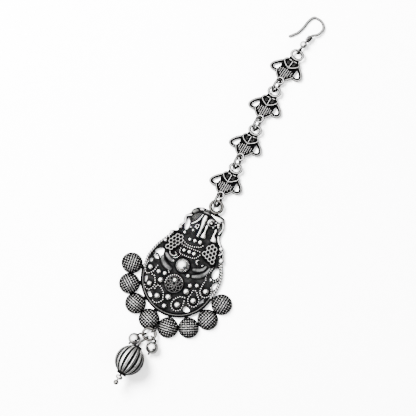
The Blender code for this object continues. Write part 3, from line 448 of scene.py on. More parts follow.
def silver(name, bright, recess_and_shade, patchy, smooth, rough=0.45, grain=0.10):
    """Cast or drawn silver. Its tone darkens with oxide and painted shade where the form gives them and where
    the surface is closed in, and wear breaks it up.
    """
    material, tree, shader = nodes_of(name)
    tarnish_and_shade, coarse = silver_tarnish_and_shade(tree, recess_and_shade, patchy)
    tones = (bright, mixed(bright, GREY_SHARE), mixed(bright, DARK_GREY_SHARE), BLACK)
    tree.links.new(ramp(tree, tarnish_and_shade, list(zip(TONE_STOPS, tones))), shader.inputs["Base Color"])
    metal = maths(tree, "SUBTRACT", 1.0, maths(tree, "MULTIPLY", tarnish_and_shade, BLACK_METAL_LOSS))
    tree.links.new(metal, shader.inputs["Metallic"])
    gleam = maths(tree, "MULTIPLY", maths(tree, "SUBTRACT", 1.0, tarnish_and_shade), SILVER_GLEAM)
    tree.links.new(gleam, shader.inputs["Specular IOR Level"])
    scratch = noise(tree, SCRATCH_SCALE, detail=2, stretch=SCRATCH_STRETCH)
    polish = maths(tree, "ADD", smooth, maths(tree, "MULTIPLY", scratch, SCRATCH_ROUGHNESS))
    finish = maths(tree, "ADD", polish, maths(tree, "MULTIPLY", tarnish_and_shade, rough - smooth), clamp=True)
    tree.links.new(finish, shader.inputs["Roughness"])
    silver_grain(tree, shader, coarse, grain)
    return material


def polished_wire():
    return silver("polished_silver_wire", (0.32, 0.315, 0.31), recess_and_shade=1.0, patchy=0.10, smooth=0.10)


# The drawn wire's silver in a darker tone, for the drop and the bails
def darker_wire():
    return silver("darker_silver_wire", (0.17, 0.16, 0.15), recess_and_shade=1.8, patchy=0.14, smooth=0.14)


def polished_beads():
    return silver("polished_silver_beads", BRIGHT, recess_and_shade=1.0, patchy=0.10, smooth=0.10)


def fine_wirework():
    return silver("fine_wirework", (0.58, 0.57, 0.56), recess_and_shade=2.2, patchy=0.12, smooth=0.14)


def link_silver():
    tone = (0.60, 0.59, 0.58)
    return silver("oxidised_link_silver", tone, recess_and_shade=2.6, patchy=0.30, smooth=0.16, rough=0.50, grain=0.20)


def cast_silver():
    tone = (0.88, 0.87, 0.85)
    return silver("oxidised_cast_silver", tone, recess_and_shade=3.0, patchy=0.35, smooth=0.16, rough=0.50, grain=0.30)


def plate_silver():
    tone = (0.46, 0.46, 0.46)
    return silver("oxidised_plate", tone, recess_and_shade=3.0, patchy=0.45, smooth=0.28, rough=0.50, grain=0.45)


def woven_silver():
    tone = (0.97, 0.96, 0.94)
    return silver("woven_silver", tone, recess_and_shade=3.0, patchy=0.35, smooth=0.20, rough=0.50, grain=0.30)


def granule_silver():
    return silver("bright_granules", BRIGHT, recess_and_shade=2.2, patchy=0.12, smooth=0.12, grain=0.08)


POLISHED = polished_wire()
DARKER_WIRE = darker_wire()
MIRROR = polished_beads()
FINE = fine_wirework()
LINK = link_silver()
CAST = cast_silver()
PLATE = plate_silver()
WOVEN = woven_silver()
GRANULE = granule_silver()


# Floor, light and camera, in metres. The hook points to the upper right of the picture
PICTURE_TURN = radians(27)
PICTURE_RIGHT = Vector((cos(PICTURE_TURN), sin(PICTURE_TURN), 0))
PICTURE_UP = Vector((-sin(PICTURE_TURN), cos(PICTURE_TURN), 0))
FLOOR_HALF = 1.6
FLOOR_DROP = 0.00002
FLOOR_GRAIN = 300
FLOOR_TONES = [(0.3, 0.95), (0.7, 0.97)]
FLOOR_SEEN_BY_SILVER = 0.04
# The sky's grey by how nearly it faces the bright side, and the dark gap that the silver mirrors
SKY_TONES = [(0.0, 0.001), (0.12, 0.012), (0.34, 0.20), (0.56, 0.52), (0.85, 1.0)]
SKY_LEAN = 0.34
GAP_TONES = [(0.905, 1.0), (0.95, 0.01)]
GAP_LEAN = 0.46
GAP_DOWN = 1.3
SKY_ON_MATT = 0.30
SKY_POWER = 7.0
Lamp = namedtuple("Lamp", "name right up height width depth power")
KEY = Lamp("key_light", -0.30, 0.30, 0.55, 0.30, 0.30, 66.0)
FILL = Lamp("fill_light", 0.35, -0.25, 0.30, 0.30, 0.45, 3.5)
LENS = 200
SENSOR = 36
IMAGE_MIDDLE = np.array((-2.1, 28.56, 0.0)) * MM
IMAGE_WIDTH = 153.9 * MM


def grey(tone):
    return (tone, tone, tone, 1)


def greys(stops):
    return [(place, grey(tone)[:3]) for place, tone in stops]


def pale_floor():
    """Matt and pale to the camera, and dark to the silver, which would otherwise mirror it."""
    material, tree, shader = nodes_of("pale_floor")
    grain = ramp(tree, noise(tree, FLOOR_GRAIN), greys(FLOOR_TONES))
    seen = add_node(tree, "ShaderNodeLightPath").outputs["Is Camera Ray"]
    feed(tree, colour_mix(tree, seen, grey(FLOOR_SEEN_BY_SILVER), grain), shader.inputs["Base Color"])
    shader.inputs["Roughness"].default_value = 0.7
    shader.inputs["Specular IOR Level"].default_value = 0.1
    return material


def floor():
    mesh = bpy.data.meshes.new("floor")
    corners = [(-1, -1), (1, -1), (1, 1), (-1, 1)]
    mesh.from_pydata([(x * FLOOR_HALF, y * FLOOR_HALF, 0) for x, y in corners], [], [(0, 1, 2, 3)])
    mesh.materials.append(pale_floor())
    piece = add_object("floor", mesh)
    piece.location.z = -FLOOR_DROP


def soft_light(lamp):
    """A soft lamp that faces the object and lights matt surfaces alone."""
    data = bpy.data.lights.new(lamp.name, "AREA")
    data.shape = "RECTANGLE"
    data.size = lamp.width
    data.size_y = lamp.depth
    data.energy = lamp.power
    place = PICTURE_RIGHT * lamp.right + PICTURE_UP * lamp.up + UP_VECTOR * lamp.height
    piece = add_object(lamp.name, data)
    piece.location = place
    piece.rotation_euler = (-place).to_track_quat("-Z", "Y").to_euler()
    piece.visible_glossy = False


def sky_towards(tree, direction, stops):
    """The sky's grey by how nearly it faces a direction."""
    place = add_node(tree, "ShaderNodeTexCoord")
    facing = add_node(tree, "ShaderNodeVectorMath", operation="DOT_PRODUCT")
    tree.links.new(place.outputs["Generated"], facing.inputs[0])
    facing.inputs[1].default_value = direction.normalized()
    return ramp(tree, facing.outputs["Value"], greys(stops))


def studio():
    """A sky that is bright towards the picture's upper left for the silver, and even for matt surfaces."""
    world = bpy.data.worlds.new("studio")
    bpy.context.scene.world = world
    world.use_nodes = True
    tree = world.node_tree
    bright = sky_towards(tree, UP_VECTOR + (PICTURE_UP - PICTURE_RIGHT) * SKY_LEAN, SKY_TONES)
    gap = sky_towards(tree, UP_VECTOR + (PICTURE_RIGHT - PICTURE_UP * GAP_DOWN) * GAP_LEAN, GAP_TONES)
    sky = colour_mix(tree, 1.0, bright, gap, "MULTIPLY")
    matt = add_node(tree, "ShaderNodeLightPath").outputs["Is Diffuse Ray"]
    background = tree.nodes["Background"]
    feed(tree, colour_mix(tree, matt, sky, grey(SKY_ON_MATT)), background.inputs["Color"])
    background.inputs["Strength"].default_value = SKY_POWER
    soft_light(KEY)
    soft_light(FILL)


def photo_camera():
    """Looks straight down on the object, as far off as its long lens needs."""
    data = bpy.data.cameras.new("photo_camera")
    data.lens = LENS
    data.sensor_width = SENSOR
    data.clip_start = 0.05
    data.clip_end = 10
    camera = add_object("photo_camera", data)
    camera.location = Vector(IMAGE_MIDDLE + SHIFT) + UP_VECTOR * (IMAGE_WIDTH * LENS / SENSOR)
    camera.rotation_euler = Matrix((PICTURE_RIGHT, PICTURE_UP, UP_VECTOR)).transposed().to_euler()
    bpy.context.scene.camera = camera


floor()
studio()
photo_camera()


# Chain. Levels are heights over the floor
RING_RADIUS = 2.4
RING_WIRE = 0.52
RING_TILT = radians(22)
LINK_LENGTH = 11.25
LINK_SKEW = 0.12
LOOP_LEVEL = 1.95
LOOP_ALONG = 0.57 * LINK_LENGTH
LOOP_MIDDLE = np.array((LINK_SKEW * LOOP_ALONG, LOOP_ALONG, 0.0))
LOOP_HALF = (2.15, 1.65)
LOOP_WIRE = 0.5
TIP_MIDDLE = np.array((-0.03 * LINK_LENGTH, LOOP_ALONG - LINK_LENGTH, 0.0))
TIP_RADIUS = 1.18
TIP_WIRE = 0.4
BAIL = np.array((0.47, 30.28, 0.0))
FLOOR_GAP = 0.02
CLEARANCE = 0.3
# Where a ring goes through the bail and through a loop, from its middle
BAIL_STEP = (0, 0.2, 0)
LOOP_STEP = (0, 0.12, 0)
# Degrees that each ring and each link leans, from the pendant up
ROUTE = [(-7, -3.5), (-5, -3.5), (-4.5, -4.5), (1, 1)]


def flat_turn(angle):
    """A matrix that turns about +Z."""
    return np.array(Matrix.Rotation(angle, 4, "Z"))


def framed(middle, along, high):
    """A matrix that lays a flat ring's own +X along a direction and its +Y along another."""
    matrix = np.eye(4)
    matrix[:3, :3] = np.column_stack([along, high, np.cross(along, high)])
    matrix[:3, 3] = middle
    return matrix


def upright(middle, lean, tilt):
    """Places a flat ring on edge along a heading, and leans its top to the left."""
    return framed(middle, heading(lean), cos(tilt) * UP - sin(tilt) * rightward(lean))


def add_ring(form, radius, wire, matrix, steps=56, sides=14):
    add_tube(form, moved(circle((0, 0), radius, steps), matrix), wire, sides, pole=matrix[:3, 2], closed=True)


def link_point(across, along, level=0.0):
    """A point on a link, whose middle line leans a little to the right."""
    return (across + LINK_SKEW * along, along, level)


def on_link(points, level, step=0.12, closed=False):
    """A smooth path over a link, all at one level."""
    path = smooth_path([link_point(*point) for point in points], step, closed)
    path[:, 2] = level
    return path


def handed(points, hand):
    """The points as they are for 1, and mirrored for -1."""
    return [(hand * across, along) for across, along in points]


def inside(point, outline):
    """Whether a point lies inside an outline."""
    outline = np.asarray(outline)[:, :2]
    after = np.roll(outline, -1, 0)
    spans = (outline[:, 1] > point[1]) != (after[:, 1] > point[1])
    rise = np.where(spans, after[:, 1] - outline[:, 1], 1)
    crossing = (after[:, 0] - outline[:, 0]) * (point[1] - outline[:, 1]) / rise + outline[:, 0]
    return np.count_nonzero(spans & (point[0] < crossing)) % 2 == 1


def solid_at(point, loops):
    """Whether a point is inside the first loop and outside the others."""
    return all(inside(point, loop) == (index == 0) for index, loop in enumerate(loops))


def flat_plate(form, outline, low, high, tarnish_and_shade, holes=()):
    """An upright plate between two levels, on an outline of (x, y) points with any holes."""
    loops = [np.asarray(loop)[:, :2] for loop in (outline, *holes)]
    edges = []
    points = []
    for loop in loops:
        start = len(points)
        points += [Vector(point) for point in loop]
        edges += [(start + i, start + (i + 1) % len(loop)) for i in range(len(loop))]
    flat, _, triangles, *_ = delaunay_2d_cdt(points, edges, [], 1, 1e-6)
    flat = np.array([tuple(point) for point in flat])
    triangles = [corner for corner in triangles if solid_at(flat[list(corner)].mean(axis=0), loops)]
    top = form.put(np.column_stack([flat, np.full(len(flat), high)]), tarnish_and_shade)
    base = form.put(np.column_stack([flat, np.full(len(flat), low)]), UNDERSIDE)
    for corner in triangles:
        form.corners.append([top + i for i in corner])
        form.corners.append([base + i for i in reversed(corner)])
    for a, b in edges:
        form.quads.append(np.array([[top + a, base + a, base + b, top + b]]))


def band(form, outer, inner, low, high, tarnish_and_shade):
    """A flat strip between two paths of equal length."""
    rows = np.stack([outer + UP * low, outer + UP * high, inner + UP * high, inner + UP * low], 1)
    form.grid(rows, tarnish_and_shade)


def beaded_path(form, path, size, pitch, core=0.5):
    """A wire of round beads along a path."""
    add_tube(form, path, size * core, sides=8, tarnish_and_shade=0.95)
    for middle in spaced(path, pitch):
        add_ball(form, middle, size, rows=5, sides=10, dark=0.9)


# Link
LINK_TOP = 1.62
LINK_MIDDLE = link_point(0, 1.0)
LINK_RIM_WIRE = 0.40
COLLAR_WIRE = 0.30
CELL_WIRE = 0.15
CELL = [(1.0, 3.35), (1.45, 2.7), (1.0, 2.1), (0.75, 2.75)]
COLLAR_BAR = [(0.55, 3.82), (1.5, 3.80)]
PARTING = [(0.02, 3.7), (0.0, 0.8)]
NECK = [(-2.05, 3.9), (2.05, 3.9), (1.9, 4.95), (-1.9, 4.95)]
LINK_BODY = [
    (2.8, 2.4), (3.1, 0.4), (3.0, -1.2), (2.35, -2.9), (0.9, -3.95), (-0.7, -3.95), (-2.35, -2.9),
    (-3.2, -1.3), (-2.85, 0.3), (-2.8, 2.4),
]
SHIELD = [
    (1.95, 4.1), (2.55, 3.75), (2.95, 3.15), (2.6, 2.35), (1.4, 1.4), (0.0, 0.75),
]
WING_OUTER = [
    (2.7, 2.9), (3.7, 2.2), (4.9, 1.15), (5.75, 0.0), (6.05, -0.9), (5.7, -1.6), (5.0, -2.05), (4.1, -2.15),
    (3.3, -1.9),
]
WING_INNER = [
    (2.75, 2.15), (3.6, 1.45), (4.6, 0.55), (5.25, -0.35), (5.3, -0.95), (4.9, -1.35), (4.2, -1.5),
    (3.6, -1.35), (3.0, -1.2),
]
LOWER_RIM = [
    (3.35, -1.5), (2.75, -2.5), (1.95, -3.45), (1.0, -4.0), (0.0, -4.12), (-1.05, -4.0), (-2.0, -3.45),
    (-2.8, -2.5), (-3.45, -1.4),
]
# Grains stand in columns on the body, which tapers towards the tip
GRAIN_COLUMNS = range(-3, 4)
GRAIN_ROWS = 8
GRAIN_ACROSS = 0.76
GRAIN_ALONG = 0.56
GRAIN_DROOP = 0.14
GRAIN_STAGGER = 0.28
GRAIN_FIRST = 0.15
GRAIN_LAST = -3.75
GRAIN_MARGIN = 0.35
GRAIN_TURN = radians(16)
GRAIN_RADIUS = 0.27
GRAIN_STRETCH = (1.35, 1.35, 1.1, 1.1)
BODY_HALF = 3.1
TAPER_START = -1.2
TAPER = 0.78


def grain_fits(across, along):
    """Whether a grain stays on the body."""
    width = BODY_HALF if along > TAPER_START else BODY_HALF - (TAPER_START - along) * TAPER
    return along >= GRAIN_LAST and abs(across) <= width - GRAIN_MARGIN


def add_grain(form, column, across, along):
    """One feathered grain, which leans away from the middle column."""
    turn = GRAIN_TURN * np.sign(column) + RANDOM.normal(0, 0.08)
    matrix = flat_turn(-turn) @ np.diag((0.72, GRAIN_STRETCH[abs(column)], 1.0, 1.0))
    middle = link_point(across + RANDOM.normal(0, 0.03), along + RANDOM.normal(0, 0.03), LINK_TOP + 0.08)
    add_ball(form, middle, GRAIN_RADIUS, rows=5, sides=10, lowest=-0.6, matrix=matrix, dark=1.0, squash=1.1)


def grain_body(form):
    """Feathered grains in near-upright columns on the link's body."""
    for column in GRAIN_COLUMNS:
        across = column * GRAIN_ACROSS
        odd = column % 2
        for index in range(GRAIN_ROWS - odd):
            along = GRAIN_FIRST - index * GRAIN_ALONG - GRAIN_DROOP * abs(column) - GRAIN_STAGGER * odd
            if grain_fits(across, along):
                add_grain(form, column, across, along)


def link_body(form):
    """The body and the shield above it, with the grains on the body."""
    flat_plate(form, on_link(LINK_BODY, 0, 0.4, closed=True), 0.0, LINK_TOP - 0.12, BLACKENED)
    shield = SHIELD + handed(SHIELD[-2::-1], -1)
    flat_plate(form, on_link(shield, 0, 0.3), low=0.65, high=LINK_TOP + 0.02, tarnish_and_shade=BLACKENED)
    grain_body(form)


def link_collar(form):
    """Thick wires round the shield, and a parting down its middle."""
    for hand in (1, -1):
        path = on_link(handed(SHIELD, hand), LINK_TOP + 0.16)
        add_tube(form, path, COLLAR_WIRE, sides=12, tarnish_and_shade=round_highlight_and_shade(12))
    add_tube(form, on_link(PARTING, LINK_TOP + 0.12), radius=0.17)


def link_cell(form, hand):
    """The wire of a cell on the shield, and the bar over it."""
    add_tube(form, on_link(handed(CELL, hand), LINK_TOP + 0.02), CELL_WIRE, sides=8, tarnish_and_shade=0.55)
    add_tube(form, on_link(handed(COLLAR_BAR, hand), LINK_TOP + 0.2), CELL_WIRE)


def link_wing(form, hand):
    """A wing's band, with a thick rim outside and a thin sunk one inside."""
    rim = spaced(on_link(handed(WING_OUTER, hand), 0), 0.12)
    ledge = resampled(on_link(handed(WING_INNER, hand), 0), len(rim))
    band(form, rim, ledge, low=0.35, high=1.0, tarnish_and_shade=BLACKENED)
    add_tube(form, rim + UP * 1.12, LINK_RIM_WIRE, sides=12, middle=LINK_MIDDLE)
    add_tube(form, ledge + UP * 0.92, radius=0.20, tarnish_and_shade=0.80)


def link_ends(form):
    """The neck and its oval loop, and the eye at the tip."""
    neck = [link_point(*corner) for corner in NECK]
    flat_plate(form, neck, low=0.7, high=LOOP_LEVEL - 0.12, tarnish_and_shade=BLACKENED)
    loop = LOOP_MIDDLE + UP * LOOP_LEVEL
    angle = full_turn(60)
    oval = np.column_stack([np.cos(angle) * LOOP_HALF[0], np.sin(angle) * LOOP_HALF[1], 0 * angle]) + loop
    add_tube(form, oval, LOOP_WIRE, sides=16, closed=True, middle=loop)
    tip = circle(TIP_MIDDLE, TIP_RADIUS, 36, level=LOOP_LEVEL)
    add_tube(form, tip, TIP_WIRE, sides=14, closed=True)


def link_form():
    form = Form()
    link_body(form)
    link_collar(form)
    for hand in (1, -1):
        link_cell(form, hand)
        link_wing(form, hand)
    add_tube(form, on_link(LOWER_RIM, LINK_TOP - 0.22), LINK_RIM_WIRE, sides=12, middle=LINK_MIDDLE)
    link_ends(form)
    return form


def make_chain():
    """Rings and links in turn from the pendant's bail up. Returns the middle of the top link's loop."""
    ring_level = FLOOR_GAP + RING_WIRE + RING_RADIUS * cos(RING_TILT)
    fall = (ring_level - LOOP_LEVEL) / cos(RING_TILT)
    half_span = sqrt(RING_RADIUS**2 - fall**2)
    shift = fall * sin(RING_TILT)
    start = BAIL + BAIL_STEP
    link = link_form()
    for index, (ring_lean, link_lean) in enumerate(ROUTE):
        number = len(ROUTE) - index
        lean = radians(ring_lean)
        along = heading(lean)
        middle = start + along * half_span - rightward(lean) * shift + UP * ring_level
        ring = Form()
        add_ring(ring, RING_RADIUS, RING_WIRE, upright(middle, lean, RING_TILT))
        ring.build_fine(f"jump_ring_{number}", POLISHED)
        place = flat_turn(-radians(link_lean))
        turn = place[:3, :3]
        place[:3, 3] = start + along * 2 * half_span - turn @ TIP_MIDDLE
        piece = Form()
        piece.copy_of(link, place)
        piece.build_fine(f"flower_link_{number}", LINK)
        loop = place[:3, 3] + turn @ LOOP_MIDDLE
        start = loop + LOOP_STEP
    return loop


# Hook. The bend's points are shares of its reach from the coil's end
HOOK_WIRE = 0.48
HOOK_END = (0.44, 0.36, 0.2)
HOOK_SLACK = 0.12
HOOK_LEAN = radians(6)
SHANK_LEAN = radians(16)
HOOK_EYE = 1.1
HOOK_EYE_WIRE = 0.36
HOOK_EYE_STEP = 1.65
HOOK_BEAD = 1.3
COIL_WIRE = 0.2
COIL_TURNS = 5
COIL_PITCH = 0.44
HOOK_REACH = 7.1
HOOK_SLOPE_POINTS = 5
HOOK_BEND = [
    (0.08, 0.1), (0.27, 0.25), (0.38, 0.48), (0.39, 0.7), (0.25, 0.89), (0.01, 1.0), (-0.24, 1.0),
    (-0.39, 0.86), (-0.49, 0.59), (-0.56, 0.25), (-0.68, -0.08), (-0.85, -0.31), (-1.03, -0.51),
]


def bored_ball(radius, bore, rows):
    """A bored ball's profile, from one end of the bore to the other."""
    start = asin(bore / radius)
    angle = start + (pi - 2 * start) * np.linspace(0, 1, rows)
    return np.column_stack([radius * np.sin(angle), radius * np.cos(angle)])


def hook_line(shank):
    """The wire's middle line. It comes down to the floor over the bend's first points."""
    rest = HOOK_WIRE + FLOOR_GAP
    end = shank[-1]
    path = list(shank)
    for index, (across, along) in enumerate(HOOK_BEND, 1):
        level = rest + (end[2] - rest) * max(0, 1 - index / HOOK_SLOPE_POINTS)
        path.append((end[0] + across * HOOK_REACH, end[1] + along * HOOK_REACH, level))
    line = smooth_path(path, 0.18)
    line[:, 1] = np.minimum(line[:, 1], max(point[1] for point in path) - 0.02)
    line[:, 2] = np.maximum(line[:, 2], rest)
    return line


def make_hook_wire(eye, line):
    form = Form()
    radius = np.full(len(line), HOOK_WIRE)
    radius[-len(HOOK_END):] = HOOK_END
    add_tube(form, line, radius, sides=16)
    add_ring(form, HOOK_EYE, HOOK_EYE_WIRE, upright(eye, HOOK_LEAN, RING_TILT), steps=36, sides=12)
    form.build_fine("hook_wire", POLISHED)


def make_hook_bead(middle, axis):
    form = Form()
    add_bored(form, bored_ball(HOOK_BEAD, HOOK_WIRE + HOOK_SLACK, 26), 36, middle, axis)
    form.build_fine("hook_bead", MIRROR)


def make_hook_coil(start, axis):
    form = Form()
    turns = np.linspace(0, 2 * pi * COIL_TURNS, COIL_TURNS * 26 + 1)[:, None]
    side = unit(np.cross(axis, UP))
    radial = side * np.cos(turns) + UP * np.sin(turns)
    coil = start + axis * COIL_PITCH * turns / (2 * pi) + radial * (HOOK_WIRE + HOOK_SLACK + COIL_WIRE)
    add_tube(form, coil, COIL_WIRE, pole=axis)
    form.build_fine("hook_coil", POLISHED)


def make_hook(top_loop):
    rise = heading(HOOK_LEAN)
    out = heading(SHANK_LEAN)
    eye = top_loop + (0, HOOK_EYE_STEP, LOOP_LEVEL)
    neck = eye + rise * HOOK_EYE
    bead = neck + rise * (HOOK_EYE_WIRE + CLEARANCE / 2 + HOOK_BEAD)
    coil_start = bead + out * (HOOK_BEAD + CLEARANCE + COIL_WIRE)
    coil_end = coil_start + out * COIL_TURNS * COIL_PITCH
    make_hook_wire(eye, hook_line([neck, bead, coil_start, coil_end]))
    make_hook_bead(bead, unit(coil_start - neck))
    make_hook_coil(coil_start, out)


# Drop
DROP_RING_RADIUS = 2.35
DROP_RING_TILT = radians(24)
DROP_RING_LEVEL = 1.5
DROP_MIDDLE = np.array((-0.35, -22.7))
PIN_EYE = 1.2
PIN_EYE_WIRE = 0.36
PIN_WIRE = 0.38
PIN_BORE = PIN_WIRE + CLEARANCE
BALL_PIN_END = 0.42


def drop_ring_point(angle):
    """A point on the ring's middle line. The ring is lowest at the pendant."""
    across = DROP_MIDDLE[0] + DROP_RING_RADIUS * cos(angle)
    along = DROP_MIDDLE[1] + DROP_RING_RADIUS * sin(angle) * cos(DROP_RING_TILT)
    level = DROP_RING_LEVEL + DROP_RING_RADIUS * (1 - sin(angle)) * sin(DROP_RING_TILT)
    return np.array((across, along, level))


def eye_matrix(angle, direction):
    """Places an eye on edge round the drop ring, its pin's side towards a direction."""
    direction = unit(direction)
    high = -unit(np.cross(direction, np.cross(direction, UP)))
    return framed(drop_ring_point(angle), direction, high)


def add_pin_eye(form, angle, direction):
    add_ring(form, PIN_EYE, PIN_EYE_WIRE, eye_matrix(angle, direction), steps=32, sides=12)


def make_drop_ring():
    form = Form()
    path = np.array([drop_ring_point(turn) for turn in full_turn(64)])
    add_tube(form, path, RING_WIRE, sides=14, closed=True)
    form.build_fine("drop_ring", DARKER_WIRE)


def make_ball_pin(side, ring_angle, start, bottom):
    form = Form()
    add_tube(form, np.linspace(start, bottom, 8), PIN_WIRE, sides=12)
    add_ball(form, bottom, BALL_PIN_END, rows=10, sides=18, dark=0.2)
    add_pin_eye(form, ring_angle, spoke(ring_angle))
    form.build_fine(f"{side}_ball_pin", DARKER_WIRE)


def make_ball(side, ring_angle, hang_angle, radius):
    """A round bead that lies on the floor, on a pin with its eye round the drop ring."""
    start = drop_ring_point(ring_angle) + spoke(ring_angle) * PIN_EYE
    reach = sqrt((PIN_EYE_WIRE + CLEARANCE + radius) ** 2 - (start[2] - radius) ** 2)
    middle = start + spoke(hang_angle) * reach
    middle[2] = radius
    axis = unit(start - middle)
    form = Form()
    add_bored(form, bored_ball(radius - 0.01, PIN_BORE, 34), 48, middle, axis)
    form.build_fine(f"{side}_ball", MIRROR)
    make_ball_pin(side, ring_angle, start, middle - axis * (radius + BALL_PIN_END))


# Melon bead. A neck closes each end, and a dark line, darker on some ribs than on others, runs along each
# rib's top
MELON_RADIUS = 5.38
MELON_LEVEL = 5.5
MELON_HALF = 5.7
MELON_END = MELON_HALF + 0.35
MELON_BEVEL = 0.12
MELON_REACH = 11.87
MELON_HANG = radians(260)
MELON_LEAN = radians(4.6)
MELON_PITCH = radians(8)
MELON_RIBS = 16
MELON_NECK = 1.9
MELON_GROOVE = 0.62
RIB_FULLNESS = 0.62
SEAMS = (0.62, 0.10, 0.42)
SPACER = 1.35
SPACER_HALF = 0.9
PIN_NECK = 1.2
PIN_END = 0.99


def melon_profile():
    """Radii and heights, from the upper bore to the lower one."""
    start = asin(MELON_NECK / MELON_RADIUS) + radians(4)
    angle = start + (pi - 2 * start) * np.linspace(0, 1, 40)
    body = np.column_stack([MELON_RADIUS * np.sin(angle), MELON_HALF * np.cos(angle)])
    neck = [(PIN_BORE, MELON_END), (MELON_NECK - MELON_BEVEL, MELON_END),
            (MELON_NECK, MELON_END - MELON_BEVEL), (MELON_NECK, MELON_HALF * 0.95)]
    foot = [(radius, -height) for radius, height in reversed(neck)]
    return np.vstack([neck, body, foot]).T


def melon_tarnish(radius, turn, rib, ribbed):
    """Dark in the grooves and on the necks, with the ribs' seams."""
    grooves = np.clip((1 - rib**RIB_FULLNESS) * 4.0 - 0.30, 0, 1)
    number = np.floor(turn * MELON_RIBS / (2 * pi)).astype(int) % len(SEAMS)
    seams = (rib > 0.95) * np.array(SEAMS)[number]
    ends = np.clip(1 - (radius - MELON_NECK) / 0.9, 0, 1)[:, None] * 0.85
    return np.maximum(np.maximum(grooves, seams) * ribbed, ends)


def melon_rows():
    """Round ribs that meet in sharp grooves, between two plain ends."""
    radius, height = melon_profile()
    turn = full_turn(MELON_RIBS * 12)
    rib = np.abs(np.sin(turn * MELON_RIBS / 2))
    ribbed = np.clip((radius - MELON_NECK) / 0.6, 0, 1)[:, None]
    swell = np.clip(radius / MELON_RADIUS, 0.45, 1)[:, None]
    reach = radius[:, None] - (1 - rib**RIB_FULLNESS) * MELON_GROOVE * ribbed * swell
    level = np.broadcast_to(height[:, None], reach.shape)
    points = np.stack([reach * np.cos(turn), reach * np.sin(turn), level], -1)
    return points, melon_tarnish(radius, turn, rib, ribbed)


def make_melon_bead(middle, axis):
    form = Form()
    points, tarnish_and_shade = melon_rows()
    form.grid(moved(points, axis_matrix(middle, axis)), tarnish_and_shade, wrap_rows=True)
    form.build_fine("melon_bead", CAST, sharp=75)


def make_melon_pin(middle, axis, end):
    form = Form()
    eye = drop_ring_point(MELON_HANG)
    neck = middle + axis * (MELON_END + PIN_NECK)
    eye_axis = unit(eye - neck)
    add_tube(form, smooth_path([eye - eye_axis * PIN_EYE, neck, middle, end], 0.3), PIN_WIRE, sides=12)
    add_ball(form, end, PIN_END, rows=16, sides=28, dark=0.1)
    add_pin_eye(form, MELON_HANG, -eye_axis)
    form.build_fine("melon_pin", DARKER_WIRE)


def make_melon_spacer(middle, axis):
    form = Form()
    turn = np.radians(np.linspace(28, 152, 20))
    body = zip(SPACER * np.sin(turn), SPACER_HALF * np.cos(turn))
    profile = [(PIN_BORE, SPACER_HALF - 0.04), *body, (PIN_BORE, 0.04 - SPACER_HALF)]
    add_bored(form, profile, 36, middle, axis)
    form.build("melon_spacer_fine", MIRROR, ["melon_spacer_bead"])


def make_melon():
    middle = np.array((*DROP_MIDDLE, MELON_LEVEL)) + spoke(MELON_HANG) * MELON_REACH
    axis = unit(heading(MELON_LEAN) * cos(MELON_PITCH) - UP * sin(MELON_PITCH))
    reach = MELON_END + CLEARANCE + SPACER_HALF
    make_melon_bead(middle, axis)
    make_melon_pin(middle, axis, middle - axis * (reach + SPACER_HALF + CLEARANCE + 1.0))
    make_melon_spacer(middle - axis * reach, axis)


# Pendant. Points are (across, along), and heights are over the plate's back
RIM = 13.4
RIM_MIDDLE = np.array((0.27, 0.27, 0.0))
RIM_BAND = (14.2, 12.6)
RIDGE_WIRE = 0.30
RIDGE_DARKENING = 0.26
PLATE_TOP = 1.1
ROPE_RADIUS = 0.58
ROPE_PITCH = 2.1
ROPE_STRANDS = 2
SHOULDERS = [
    (14.2, 0.7), (14.6, 2.9), (14.3, 6.7), (13.1, 10.2), (11.7, 13.1), (10.3, 16.2), (9.6, 17.9),
    (8.0, 18.7), (7.0, 20.4), (6.8, 24.0), (6.0, 26.2), (5.2, 27.7), (1.6, 28.2), (-3.6, 28.0),
    (-5.6, 27.2), (-6.8, 25.8), (-7.1, 24.1), (-8.3, 22.7), (-8.4, 21.4), (-7.8, 20.1), (-8.8, 18.5),
    (-8.3, 16.3), (-9.9, 15.5), (-10.7, 14.4), (-10.4, 12.7), (-11.6, 10.7), (-12.7, 8.4), (-13.5, 5.5),
    (-13.8, 2.9), (-13.6, 0.7),
]
PIERCINGS = [
    [(-6.9, 22.2), (-5.7, 20.8), (-5.3, 19.1), (-5.9, 17.6), (-7.0, 19.4)],
    [(-10.0, 8.0), (-9.2, 6.2), (-9.5, 3.9), (-11.2, 3.5), (-12.5, 4.6), (-11.8, 6.7)],
    [(-11.8, 2.8), (-11.7, 1.7), (-12.4, 1.3), (-12.6, 2.5)],
    [(-10.6, -3.8), (-10.3, -6.3), (-11.5, -4.8)],
    [(-7.4, -8.6), (-5.9, -9.8), (-6.7, -10.7), (-7.9, -9.8)],
    [(11.5, 10.3), (12.6, 9.2), (12.7, 7.5), (12.0, 6.2), (11.0, 6.2), (10.3, 7.5), (10.4, 9.2)],
    [(13.7, 5.6), (13.7, 2.8), (13.0, 2.3), (12.3, 3.6), (12.7, 4.8)],
    [(11.7, -2.3), (12.0, -3.6), (10.9, -4.6)],
    [(7.1, -7.5), (9.1, -8.3), (8.0, -9.5), (6.7, -9.2)],
]
